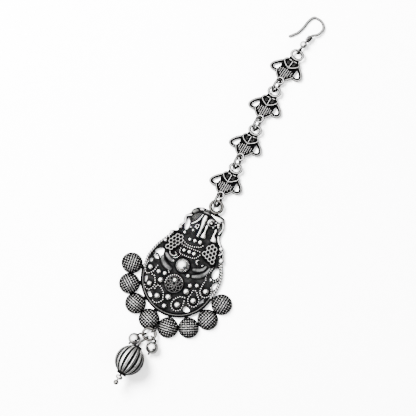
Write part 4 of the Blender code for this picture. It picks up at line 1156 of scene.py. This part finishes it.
# Granules: across, along, radius
GRANULES = [
    (-11.2, -0.4, 0.95), (-7.7, -0.5, 0.85), (-5.4, -0.1, 0.8), (-5.7, -3.0, 1.0), (-8.8, -6.0, 0.95),
    (-4.2, -8.8, 1.05), (-0.3, -7.4, 1.1), (-0.1, -11.0, 0.95), (4.0, -8.5, 1.15), (8.6, -4.5, 1.1),
    (11.2, 0.6, 1.05), (5.0, 0.0, 0.8), (7.3, 1.1, 0.8), (4.7, -2.6, 1.1), (2.7, 2.9, 0.75),
    (-2.8, 15.2, 0.65), (-0.9, 15.6, 0.7), (1.1, 15.9, 0.8), (-2.9, 10.7, 0.7), (-0.9, 11.0, 0.75),
    (1.0, 11.1, 0.8), (-5.7, 16.7, 0.62), (9.2, 17.2, 0.92), (11.2, 13.3, 1.02), (11.0, 5.3, 0.5),
    (-4.7, 5.4, 0.42), (-3.3, 18.8, 0.48), (-4.6, 19.4, 0.36), (6.3, 20.6, 0.45), (-10.0, 14.6, 0.78),
    (-10.7, 10.9, 0.62),
]
BELLY = (-0.8, 5.4, PLATE_TOP + 0.9)
BELLY_RADIUS = 2.5
FRAMES = [
    [(-9.0, 1.2), (-9.1, 0.6), (-9.2, -0.3), (-9.3, -1.0), (-9.8, -1.7), (-10.3, -2.3), (-10.9, -2.8),
     (-11.8, -3.0), (-12.4, -2.1), (-12.9, -1.2)],
    [(-9.3, -2.6), (-8.5, -2.6), (-7.9, -3.2), (-7.4, -4.0), (-6.9, -4.9), (-6.9, -6.2), (-7.2, -7.2),
     (-7.9, -8.1), (-8.8, -8.2), (-9.5, -7.9), (-10.1, -7.3)],
    [(-6.1, -6.8), (-6.0, -5.9), (-5.6, -5.2), (-4.8, -5.1), (-3.5, -6.0), (-2.8, -6.5), (-2.3, -7.3),
     (-2.0, -8.3), (-1.6, -9.4), (-2.1, -10.2), (-2.8, -11.0), (-3.7, -11.4), (-4.8, -11.1)],
    [(5.3, -4.9), (4.4, -5.1), (3.6, -5.3), (2.9, -6.1), (2.3, -6.8), (1.9, -7.8), (1.9, -9.0),
     (2.3, -10.0), (3.1, -10.6), (4.1, -10.8), (5.2, -10.3), (5.9, -9.4), (6.0, -8.1), (5.9, -7.1),
     (5.7, -6.1)],
    [(6.8, -2.0), (6.9, -1.1), (7.8, -0.8), (8.6, -1.4), (9.2, -2.1), (10.0, -2.8), (10.5, -3.6),
     (10.7, -4.5), (10.5, -5.5), (9.9, -6.4), (8.6, -6.7), (7.4, -6.2), (6.6, -4.9), (6.5, -4.0),
     (6.7, -3.0)],
    [(9.2, 3.4), (9.1, 2.3), (9.1, 1.3), (9.2, 0.0), (9.7, -1.0), (10.6, -1.6), (11.7, -1.6), (12.6, -1.0),
     (13.1, -0.2), (13.2, 0.6), (13.0, 1.7), (12.3, 2.7)],
]
BEAD_LINES = [
    [(-4.7, 13.8), (-3.0, 13.1), (-0.5, 13.3), (2.0, 14.3), (2.6, 15.2)],
    [(-4.6, 12.4), (-3.0, 12.2), (-0.5, 12.4), (2.6, 12.7)],
    [(-4.3, 10.8), (-4.1, 9.5), (-3.5, 8.9), (-1.8, 9.0), (0.4, 9.2), (2.2, 9.9), (3.2, 11.6)],
    [(9.6, 9.9), (9.4, 8.0), (8.9, 6.5), (8.8, 5.5), (9.3, 4.4)],
    [(11.8, 11.2), (12.4, 10.9), (13.2, 10.2), (13.5, 9.2), (13.4, 7.4), (12.9, 6.0), (11.9, 5.2),
     (10.6, 5.6)],
    [(-12.9, -1.2), (-12.9, 0.2), (-12.7, 1.0)],
    [(-4.3, 2.0), (-4.6, 1.1), (-4.2, 0.9)],
]
LEFT_SIDE = [
    (-13.3, -1.6), (-13.8, 2.7), (-13.4, 5.4), (-12.5, 8.6), (-11.3, 11.1), (-10.2, 13.4), (-9.5, 15.1),
]
RIGHT_SIDE = [
    (13.8, -0.9), (14.4, 2.9), (14.2, 6.7), (13.0, 9.9), (11.5, 12.7), (10.5, 15.0), (9.6, 16.7),
]


def arc(radius, first, last, level=0.0, step=2.0):
    """Points on a round of the rim's middle, between two angles in degrees."""
    count = int(abs(last - first) / step) + 1
    return circle(RIM_MIDDLE, radius, count, radians(first), radians(last), level, closed=False)


def on_plate(points, level):
    """A smooth path at a level over the plate."""
    return smooth_path(points) + UP * (PLATE_TOP + level)


def rope(form, path):
    """Twisted strands along a path. Each strand is bright where it comes up and dark where it turns under:
    partly oxide in the twist's hollows, partly a painted highlight and painted shade.
    """
    line = spaced(path, 0.12)
    along = unit(np.gradient(line, axis=0))
    side = unit(np.cross(along, UP))
    rise = np.cross(side, along)
    length = lengths_along(line)[:, None]
    for index in range(ROPE_STRANDS):
        turn = 2 * pi * (length / ROPE_PITCH + index / ROPE_STRANDS)
        offset = ROPE_RADIUS * 0.5 * (side * np.cos(turn) + rise * np.sin(turn))
        tarnish_and_shade = np.clip(1.2 - np.sin(turn[:, 0]) * 1.5, 0, 1)
        form.grid(tube_rows(line + offset, ROPE_RADIUS * 0.48, 8), tarnish_and_shade)


def make_plate():
    form = Form()
    outline = np.vstack([arc(RIM, 184, 358, step=4)[:, :2], SHOULDERS])
    holes = [smooth_path(hole, 0.35, closed=True) for hole in PIERCINGS]
    flat_plate(form, outline, low=0.0, high=PLATE_TOP, tarnish_and_shade=0.70, holes=holes)
    form.build_pendant("pendant_plate", PLATE, sharp=30)


def make_rim():
    form = Form()
    outer, inner = (arc(radius, 176, 364) for radius in RIM_BAND)
    band(form, outer, inner, low=0.2, high=PLATE_TOP + 0.08, tarnish_and_shade=BLACKENED)
    # The ridge has a wire's painted highlight and shade, darkened all over by a given amount
    ridge_tone = np.clip(round_highlight_and_shade(16) + RIDGE_DARKENING, 0, 1)
    add_tube(form, arc(RIM - 0.05, 172, 368, PLATE_TOP + 0.1), RIDGE_WIRE, sides=16, tarnish_and_shade=ridge_tone)
    for side in (LEFT_SIDE, RIGHT_SIDE[:5]):
        rope(form, on_plate(side, 0.1))
    inner_side = [(x * 0.94, y * 0.985) for x, y in RIGHT_SIDE[2:]]
    beaded_path(form, on_plate(inner_side, 0.05), 0.27, 0.80, core=0.55)
    form.build_pendant("pendant_rim", FINE)


def make_granules():
    form = Form()
    for across, along, radius in GRANULES:
        add_ball(form, (across, along, PLATE_TOP + 0.42 * radius), radius, rows=14, sides=28, lowest=-0.65)
    add_ball(form, BELLY, BELLY_RADIUS, rows=30, sides=56, lowest=-0.3)
    form.build_pendant("pendant_granules", GRANULE)


def make_bead_lines():
    form = Form()
    for points in FRAMES:
        beaded_path(form, on_plate(points, 0.14), 0.33, 0.88)
    for points in BEAD_LINES:
        beaded_path(form, on_plate(points, 0.16), 0.30, 0.80)
    form.build_pendant("pendant_bead_lines", FINE)


# Woven domes. The wires run over a dark shell that is a little smaller
DOME_COUNT = 8
DOME_RADIUS = 3.9
DOME_REACH = 1.373 * RIM
DOME_STEP = 2 * asin((2 * DOME_RADIUS - 0.14) / (2 * DOME_REACH))
DOME_MIDDLE_ANGLE = radians(272)
SHELL_RADIUS = 3.55
SHELL_HEIGHT = 3.42
TONGUE_HALF = 0.75
WEAVE_REACH = DOME_RADIUS - 0.36
WEAVE_HEIGHT = 3.38
WEAVE_LIFT = 0.18
WEAVE_WIRE = 0.19
WEAVE_PITCH = 0.84
WEAVE_ROWS = 4
WEAVE_SWING = radians(84)
WEAVE_POLE = (0.02, 0.03, 1)


def weave(form, rotate, shift):
    """One set of woven wires over a dome. Its middle wires lie on top of the others."""
    for row in range(-WEAVE_ROWS, WEAVE_ROWS + 1):
        across = row * WEAVE_PITCH
        reach = sqrt(max(0.0, WEAVE_REACH**2 - across**2))
        if reach < 0.7:
            continue
        angle = np.linspace(-WEAVE_SWING, WEAVE_SWING, max(14, int(reach * 18)))
        along = reach * np.sin(angle)
        over = np.cos(pi * (along / WEAVE_PITCH + row + shift))
        tarnish_and_shade = np.clip(1.45 - 2.1 * over, 0, 1)
        if shift == 0 and abs(row) <= 1:
            over = np.ones(len(along))
            tarnish_and_shade = 0.10 * over
        rise = WEAVE_HEIGHT / WEAVE_REACH * reach * np.cos(angle)
        out = 1 + WEAVE_LIFT * over / WEAVE_REACH
        path = np.column_stack([along * out, across * out, rise * out + 0.05]) @ flat_turn(rotate)[:3, :3].T
        # Painted shade: the wires darken towards the dome's foot, and their flanks carry a painted highlight
        # and painted shade
        low = np.clip(0.9 - rise / 1.4, 0, 0.8)
        rows = tube_rows(path, WEAVE_WIRE, 8, pole=WEAVE_POLE)
        form.grid(rows, np.maximum(tarnish_and_shade, low)[:, None] + round_highlight_and_shade(8) * 0.5)


def dome_tongue(form, middle, out):
    """A strip of plate from the rim to under a dome."""
    side = np.cross(UP, out) * TONGUE_HALF
    start = RIM_MIDDLE + out * (RIM - 0.2)
    end = middle - out * 3.3
    corners = [start - side, end - side, end + side, start + side]
    flat_plate(form, corners, low=0.2, high=0.95, tarnish_and_shade=0.9)


def make_dome(number, angle):
    out = spoke(angle)
    middle = RIM_MIDDLE + out * DOME_REACH
    place = Matrix.Translation(middle)
    form = Form()
    shell = [(SHELL_RADIUS * cos(rise), SHELL_HEIGHT * sin(rise)) for rise in np.linspace(0.0, 1.48, 14)]
    form.grid(moved(turned_rows(shell, 40), place), BLACKENED)
    turn = angle + pi / 2 + RANDOM.normal(0, 0.30)
    woven = Form()
    weave(woven, turn, 0)
    weave(woven, turn + pi / 2, 1)
    form.copy_of(woven, place)
    rim = circle(middle, DOME_RADIUS - 0.17, 60, level=0.35)
    add_tube(form, rim, radius=0.16, sides=8, closed=True, tarnish_and_shade=0.75)
    dome_tongue(form, middle, out)
    form.build_pendant(f"woven_dome_{number}", WOVEN)


def make_domes():
    first = DOME_MIDDLE_ANGLE - DOME_STEP * (DOME_COUNT - 1) / 2
    for index in range(DOME_COUNT):
        make_dome(index + 1, first + DOME_STEP * index)


# Figure. Each row of a limb is (across, along, half width, height over the plate)
LIMB_SIDES = 16
LIMB_DEPTH = 0.3
LEGS = [
    [(-8.6, 7.0, 0.55, 0.6), (-7.6, 6.3, 0.8, 0.9), (-6.2, 5.6, 0.85, 1.0), (-4.6, 5.3, 0.65, 0.8)],
    [(-9.0, 5.7, 0.5, 0.5), (-8.4, 4.2, 0.85, 0.9), (-6.8, 2.9, 1.0, 1.1), (-4.9, 2.3, 0.95, 1.0),
     (-3.7, 2.3, 0.75, 0.8)],
    [(7.2, 9.2, 0.45, 0.5), (6.6, 7.4, 0.75, 0.9), (5.2, 6.4, 0.85, 1.0), (3.0, 5.6, 0.55, 0.7)],
    [(8.8, 9.2, 0.4, 0.5), (8.3, 6.8, 0.75, 0.9), (6.9, 4.9, 0.95, 1.1), (5.2, 3.8, 0.85, 1.0),
     (3.8, 3.2, 0.55, 0.7)],
]
BRIGHT_LIMBS = [
    [(-1.2, 26.0, 0.8, 1.6), (-1.25, 25.0, 1.08, 1.9), (-1.1, 23.5, 0.95, 1.9), (-0.88, 21.8, 0.62, 1.6),
     (-0.8, 20.0, 0.54, 1.5), (-0.78, 17.1, 0.54, 1.4)],
    [(0.4, 23.2, 0.55, 0.9), (0.65, 22.2, 0.68, 1.2), (0.85, 20.7, 0.45, 1.2), (0.95, 19.2, 0.55, 1.1),
     (1.1, 18.3, 1.0, 1.0), (1.15, 17.6, 1.35, 0.9)],
    [(4.1, 23.0, 0.45, 0.8), (4.45, 21.8, 0.5, 1.0), (4.4, 20.6, 0.4, 1.0), (4.7, 19.6, 0.55, 0.8),
     (5.1, 18.8, 1.2, 0.9), (5.2, 18.0, 1.6, 0.8)],
    [(-0.2, 27.1, 0.3, 0.8), (1.2, 26.75, 0.5, 1.1), (2.4, 26.5, 0.95, 1.35), (3.8, 26.35, 1.25, 1.5),
     (4.9, 26.25, 1.25, 1.4), (5.4, 26.1, 1.0, 1.0)],
    [(5.1, 26.3, 0.3, 0.7), (6.0, 25.2, 0.36, 0.8), (6.35, 23.8, 0.36, 0.8), (6.1, 22.4, 0.34, 0.7),
     (5.9, 21.4, 0.3, 0.6)],
    [(6.2, 20.6, 0.42, 0.6), (7.0, 19.4, 0.45, 0.7), (7.9, 18.5, 0.45, 0.7), (8.8, 17.9, 0.4, 0.6)],
    [(-2.5, 25.9, 0.32, 1.0), (-2.75, 24.4, 0.4, 1.1), (-3.3, 22.7, 0.4, 1.0), (-4.5, 21.1, 0.3, 0.7),
     (-5.0, 20.6, 0.22, 0.5)],
    [(-6.0, 23.8, 0.38, 0.7), (-7.2, 23.0, 0.42, 0.8), (-8.0, 22.4, 0.42, 0.8), (-7.7, 21.3, 0.38, 0.8),
     (-7.4, 20.4, 0.38, 0.8), (-7.8, 19.3, 0.42, 0.8), (-8.1, 18.2, 0.5, 0.8)],
    [(-2.7, 27.1, 0.45, 0.9), (-3.6, 27.2, 0.55, 1.1), (-4.6, 26.8, 0.45, 0.8)],
    [(10.1, 16.9, 0.45, 1.2), (10.2, 16.0, 0.44, 1.2), (9.8, 15.1, 0.4, 1.1), (9.1, 14.6, 0.34, 0.9)],
    [(11.6, 12.9, 0.3, 0.9), (11.4, 14.2, 0.3, 0.9), (10.8, 15.6, 0.3, 0.9)],
    [(-7.6, 8.2, 0.22, 0.8), (-6.9, 7.3, 0.28, 0.9), (-5.8, 7.0, 0.3, 1.0), (-4.9, 7.5, 0.32, 1.0),
     (-4.5, 8.4, 0.25, 0.8)],
    [(3.7, 9.9, 0.25, 0.8), (3.15, 9.3, 0.32, 0.9), (3.3, 8.5, 0.34, 1.0), (4.2, 8.05, 0.3, 0.9)],
    [(-5.8, 8.8, 0.22, 1.0), (-4.9, 8.3, 0.28, 1.1)],
    [(5.4, 8.2, 0.24, 0.9), (6.1, 9.0, 0.26, 1.0)],
    [(-9.7, 14.6, 0.26, 0.7), (-10.2, 13.2, 0.34, 0.8), (-9.8, 12.3, 0.24, 0.6)],
    [(-3.4, 8.1, 0.14, 0.4), (-4.2, 7.0, 0.18, 0.4), (-5.6, 6.4, 0.16, 0.4)],
]
DARK_LIMBS = [
    [(-9.3, 3.4, 0.3, 0.5), (-10.0, 4.3, 0.34, 0.6), (-10.7, 5.1, 0.32, 0.6), (-11.4, 5.0, 0.28, 0.5),
     (-11.4, 4.3, 0.22, 0.4)],
    [(-12.6, 6.1, 0.22, 0.4), (-12.1, 4.9, 0.26, 0.4), (-12.3, 3.8, 0.22, 0.4)],
]
GREY_LIMBS = [
    [(-3.0, 26.6, 0.55, 0.5), (-0.4, 26.9, 0.6, 0.7), (1.6, 27.0, 0.5, 0.5)],
    [(-2.6, 27.4, 0.3, 0.9), (-1.0, 27.7, 0.32, 0.9), (1.0, 27.7, 0.3, 0.9), (2.4, 27.5, 0.25, 0.8)],
    [(-4.6, 26.3, 0.55, 0.6), (-5.6, 25.6, 0.95, 1.0), (-6.4, 24.5, 0.75, 0.7)],
]
# Small beads on the head and beside it: across, along, radius
HEAD_BEADS = [
    (3.1, 25.0, 0.42), (3.2, 23.9, 0.4), (2.9, 23.0, 0.42), (4.2, 24.6, 0.62), (4.6, 23.9, 0.45),
    (-2.2, 21.4, 0.34), (-3.0, 20.3, 0.34), (-2.3, 20.0, 0.3), (-8.1, 17.9, 0.78),
]
EYE = (1.7, 24.0, PLATE_TOP + 1.66)
LEFT_EAR = [
    (-3.1, 25.6), (-3.5, 23.6), (-4.9, 21.6), (-5.9, 22.9), (-5.4, 24.7), (-4.2, 25.6),
]
RIGHT_EAR = [
    (4.9, 25.4), (5.9, 24.9), (6.0, 23.6), (5.7, 22.0), (5.0, 21.9), (4.8, 23.6),
]
EAR_PITCH = 0.50
EAR_WIRE = 0.085
LEFT_SLEEVE = [
    (-8.8, 15.4), (-7.2, 15.7), (-5.8, 15.0), (-5.0, 13.4), (-5.2, 11.4), (-6.2, 9.4), (-8.0, 8.3),
    (-10.2, 8.0), (-9.8, 9.8), (-9.1, 12.6),
]
RIGHT_SLEEVE = [
    (5.0, 17.2), (6.8, 17.5), (8.1, 16.0), (8.6, 13.9), (9.3, 11.9), (9.8, 9.9), (7.8, 10.3), (5.5, 10.9),
    (4.1, 11.9), (3.8, 13.6), (4.2, 15.4),
]
SLEEVE_FOOT = 0.9
SLEEVE_LEVEL = PLATE_TOP + 0.9
SLEEVE_SWELL = 0.7
SLEEVE_MARGIN = 0.28
# A cell's corners, in shares of the net's pitches
CELL_CORNERS = [(0.30, 0.5), (0.70, 0.0), (0.30, -0.5), (-0.30, -0.5), (-0.70, 0.0), (-0.30, 0.5)]


def round_ends(path, width):
    """Shares of the width that round off both ends of a limb."""
    length = lengths_along(path)
    from_end = np.minimum(length, length[-1] - length)
    rounding = np.minimum(0.9 * width, 0.55)
    return np.sqrt(np.clip(1 - np.clip(1 - from_end / rounding, 0, 1) ** 2, 0.01, 1))


def limb(form, rows, tarnish_and_shade=0.0, ribs=0.0, tall=0.8, foot=0.95):
    """A rounded, tapering form on the plate, ribbed across if asked, with painted shade that darkens its
    lower sides.
    """
    rows = np.asarray(rows, float)
    path = smooth_path(rows[:, :3] * (1, 1, 0), 0.09)
    marks = np.linspace(0, len(rows) - 1, len(path))
    width, level = (np.interp(marks, np.arange(len(rows)), rows[:, column]) for column in (2, 3))
    cap = round_ends(path, width)
    ridge = np.abs(np.sin(pi * lengths_along(path) / ribs)) if ribs else 1.0
    width = width * cap
    level = level * cap
    if ribs:
        width = width * (1.08 + 0.07 * ridge)
        level = level * (0.90 + 0.10 * ridge)
    path[:, 2] = PLATE_TOP
    points = tube_rows(path, width, LIMB_SIDES)
    rise = (points[..., 2] - PLATE_TOP) / width[:, None] * level[:, None] * tall
    points[..., 2] = np.maximum(PLATE_TOP + rise, PLATE_TOP - LIMB_DEPTH)
    share = (points[..., 2] - PLATE_TOP) / np.maximum(level * tall, 0.05)[:, None]
    # Painted shade: the value goes from the limb's own tone on top to the foot value low on its sides
    values = tarnish_and_shade + (foot - tarnish_and_shade) * np.clip((0.84 - share) / 0.5, 0, 1)
    if ribs:
        values = values + 0.14 * (1 - ridge)[:, None]
    form.grid(points, values)


def edge_distance(point, outline):
    """How far a point is from the nearest side of an outline."""
    best = 1e9
    for a, b in zip(outline, outline[1:] + outline[:1]):
        side = np.array(b) - np.array(a)
        share = np.clip(np.dot(point - np.array(a), side) / max(np.dot(side, side), TINY), 0, 1)
        best = min(best, float(np.linalg.norm(point - np.array(a) - side * share)))
    return best


def net_panel(form, outline, lean, pitch, row_pitch, wire):
    """A black panel under a bright net of long six-sided cells. The net swells towards its middle."""
    panel = smooth_path(outline, 0.4, closed=True)
    flat_plate(form, panel, SLEEVE_FOOT, SLEEVE_LEVEL - 0.4, BLACKENED)
    middle = np.mean(outline, axis=0)
    along = heading(lean)[:2]
    across = rightward(lean)[:2]
    spread = np.max(np.linalg.norm(np.asarray(outline) - middle, axis=1))
    for row, column in product(range(-9, 10), repeat=2):
        centre = middle + across * (row * row_pitch) + along * ((column + 0.5 * (row % 2)) * pitch)
        if not inside(centre, outline) or edge_distance(centre, outline) < SLEEVE_MARGIN:
            continue
        ring = np.array([centre + across * x * row_pitch + along * y * pitch for x, y in CELL_CORNERS])
        ring = spaced(np.column_stack([ring, np.zeros(len(ring))]), 0.22, closed=True)
        offset = np.linalg.norm(ring[:, :2] - middle, axis=1) / spread
        ring[:, 2] = SLEEVE_LEVEL + SLEEVE_SWELL * np.clip(1 - offset**2, 0, 1)
        add_tube(form, ring, wire, sides=8, closed=True, tarnish_and_shade=0.27)


def wire_net(form, outline, level):
    """Crossed thin wires inside an outline, for an ear's mesh."""
    middle = np.mean(outline, axis=0)
    for lean, row in product((radians(38), radians(-52)), range(-8, 9)):
        along = heading(lean)[:2]
        across = rightward(lean)[:2]
        marks = [middle + across * row * EAR_PITCH + along * t for t in np.arange(-4, 4, 0.15)]
        path = np.array([(*point, level) for point in marks if inside(point, outline)])
        if len(path) > 2:
            add_tube(form, path, EAR_WIRE, sides=6, tarnish_and_shade=0.42)


def figure_head(form):
    """The cheek, the eye in its dark ring, the small beads beside it, and a curl."""
    add_ball(form, (1.35, 24.1, PLATE_TOP + 0.25), radius=1.55, rows=16, sides=30, lowest=-0.2)
    add_tube(form, circle(EYE, 0.74, 24, level=EYE[2]), radius=0.27, sides=8, closed=True, tarnish_and_shade=1.0)
    add_ball(form, EYE, radius=0.40, rows=8, sides=16, dark=1.0)
    for across, along, radius in HEAD_BEADS:
        level = PLATE_TOP + 0.5 * radius + 0.15
        add_ball(form, (across, along, level), radius, rows=8, sides=18, lowest=-0.6)
    curl = circle((-2.6, 20.8), 0.62, 24, level=PLATE_TOP + 0.35)
    add_tube(form, curl, radius=0.20, sides=8, closed=True)
    dot = (-8.1, 18.0, PLATE_TOP + 1.0)
    add_ball(form, dot, radius=0.27, rows=6, sides=12, top_tarnish=1.0, dark=1.0)


def figure_ears(form):
    for ear in (LEFT_EAR, RIGHT_EAR):
        panel = smooth_path(ear, 0.3, closed=True)
        flat_plate(form, panel, low=0.9, high=PLATE_TOP + 0.12, tarnish_and_shade=BLACKENED)
        wire_net(form, ear, PLATE_TOP + 0.16)


def make_figure():
    form = Form()
    for limbs, tarnish_and_shade in ((BRIGHT_LIMBS, 0.0), (GREY_LIMBS, 0.42), (DARK_LIMBS, 0.75)):
        for rows in limbs:
            limb(form, rows, tarnish_and_shade)
    figure_head(form)
    figure_ears(form)
    form.build_pendant("pendant_figure", CAST)


def make_legs():
    form = Form()
    for rows in LEGS:
        limb(form, rows, tarnish_and_shade=0.34, ribs=0.34, tall=0.9, foot=0.75)
    form.build_pendant("pendant_legs", PLATE)


def make_sleeves():
    form = Form()
    net_panel(form, LEFT_SLEEVE, radians(28), pitch=1.50, row_pitch=1.08, wire=0.13)
    net_panel(form, RIGHT_SLEEVE, radians(-14), pitch=1.55, row_pitch=1.15, wire=0.135)
    form.build_pendant("pendant_sleeves", GRANULE, sharp=60)


# Net disc
DISC_MIDDLE = (-0.65, -2.0)
DISC_RADIUS = 3.3
DISC_GRANULE = (-0.9, -0.7, PLATE_TOP + 1.05)
# Shares of the radius and heights over the plate
DISC_PROFILE = [(1, -0.2), (1, 0.35), (0.85, 0.75), (0.5, 1.0), (0.1 / DISC_RADIUS, 1.1)]
SPIRALS = 9
SPIRAL_TURN = 1.15
SPIRAL_WIRE = 0.085
SPIRAL_START = 0.14


def on_disc(reach, turn):
    """A point on the disc's net, which is highest at the middle."""
    level = PLATE_TOP + 0.52 + 0.66 * (1 - (reach / DISC_RADIUS) ** 2)
    return (DISC_MIDDLE[0] + reach * cos(turn), DISC_MIDDLE[1] + reach * sin(turn), level)


def disc_net(form):
    """Crossed spirals from near the middle to the rim, both ways round."""
    for index, lean in product(range(SPIRALS), (-1, 1)):
        spiral = []
        for share in np.linspace(0, 1, 16):
            reach = DISC_RADIUS * (SPIRAL_START + (1 - SPIRAL_START) * share)
            spiral.append(on_disc(reach, 2 * pi * index / SPIRALS + lean * SPIRAL_TURN * share))
        add_tube(form, np.array(spiral), SPIRAL_WIRE, sides=6, tarnish_and_shade=0.38)


def make_disc_granule():
    form = Form()
    add_ball(form, DISC_GRANULE, radius=0.85, rows=12, sides=24)
    form.build_pendant("pendant_disc_granule", GRANULE)


def make_net_disc():
    form = Form()
    profile = [(DISC_RADIUS * share, PLATE_TOP + level) for share, level in DISC_PROFILE]
    form.grid(moved(turned_rows(profile, 48), Matrix.Translation((*DISC_MIDDLE, 0))), BLACKENED)
    rim = np.array([on_disc(DISC_RADIUS, turn) for turn in full_turn(60)])
    add_tube(form, rim, radius=0.17, sides=8, closed=True, tarnish_and_shade=0.5)
    disc_net(form)
    for turn in np.radians(np.arange(42, 200, 14)):
        add_ball(form, on_disc(DISC_RADIUS * 0.98, turn), radius=0.27, rows=6, sides=12)
    form.build_pendant("pendant_net_disc", FINE)


# Bails
BAIL_RADIUS = 2.2
BAIL_WIRE = 0.6
BAIL_FOOT = [(-0.7, 26.9), (1.6, 26.9), (1.4, 28.25), (-0.5, 28.25)]
LOWER_BAIL_ANGLE = radians(68)
LOWER_BAIL = 1.1
LOWER_BAIL_WIRE = 0.34
LOWER_FOOT = [(-0.72, -0.14), (0.72, -0.14), (0.72, 1.3), (-0.72, 1.3)]


def make_top_bail():
    form = Form()
    path = circle(BAIL, BAIL_RADIUS, 64, level=LOOP_LEVEL)
    add_tube(form, path, BAIL_WIRE, sides=18, closed=True, middle=BAIL)
    flat_plate(form, BAIL_FOOT, low=0.35, high=LOOP_LEVEL - 0.15, tarnish_and_shade=0.8)
    form.build_pendant("pendant_bail", DARKER_WIRE)


def make_lower_bail():
    form = Form()
    top = drop_ring_point(LOWER_BAIL_ANGLE)
    radial = unit(top - np.array((*DROP_MIDDLE, top[2])))
    add_ring(form, LOWER_BAIL, LOWER_BAIL_WIRE, eye_matrix(LOWER_BAIL_ANGLE, radial), steps=32, sides=12)
    solder = top + radial * (LOWER_BAIL + LOWER_BAIL_WIRE)
    foot = [(solder[0] + x, solder[1] + y) for x, y in LOWER_FOOT]
    flat_plate(form, foot, low=0.3, high=DROP_RING_LEVEL + 0.28, tarnish_and_shade=0.7)
    form.build_pendant("pendant_lower_bail", DARKER_WIRE)


for node in frame["nodes"].values():
    node.hide_render = True
make_plate()
make_rim()
make_granules()
make_bead_lines()
make_domes()
make_figure()
make_legs()
make_sleeves()
make_disc_granule()
make_net_disc()
make_top_bail()
make_lower_bail()
make_hook(make_chain())
make_drop_ring()
make_ball("left", radians(205), radians(251), 2.2)
make_ball("right", radians(340), radians(268), 2.3)
make_melon()
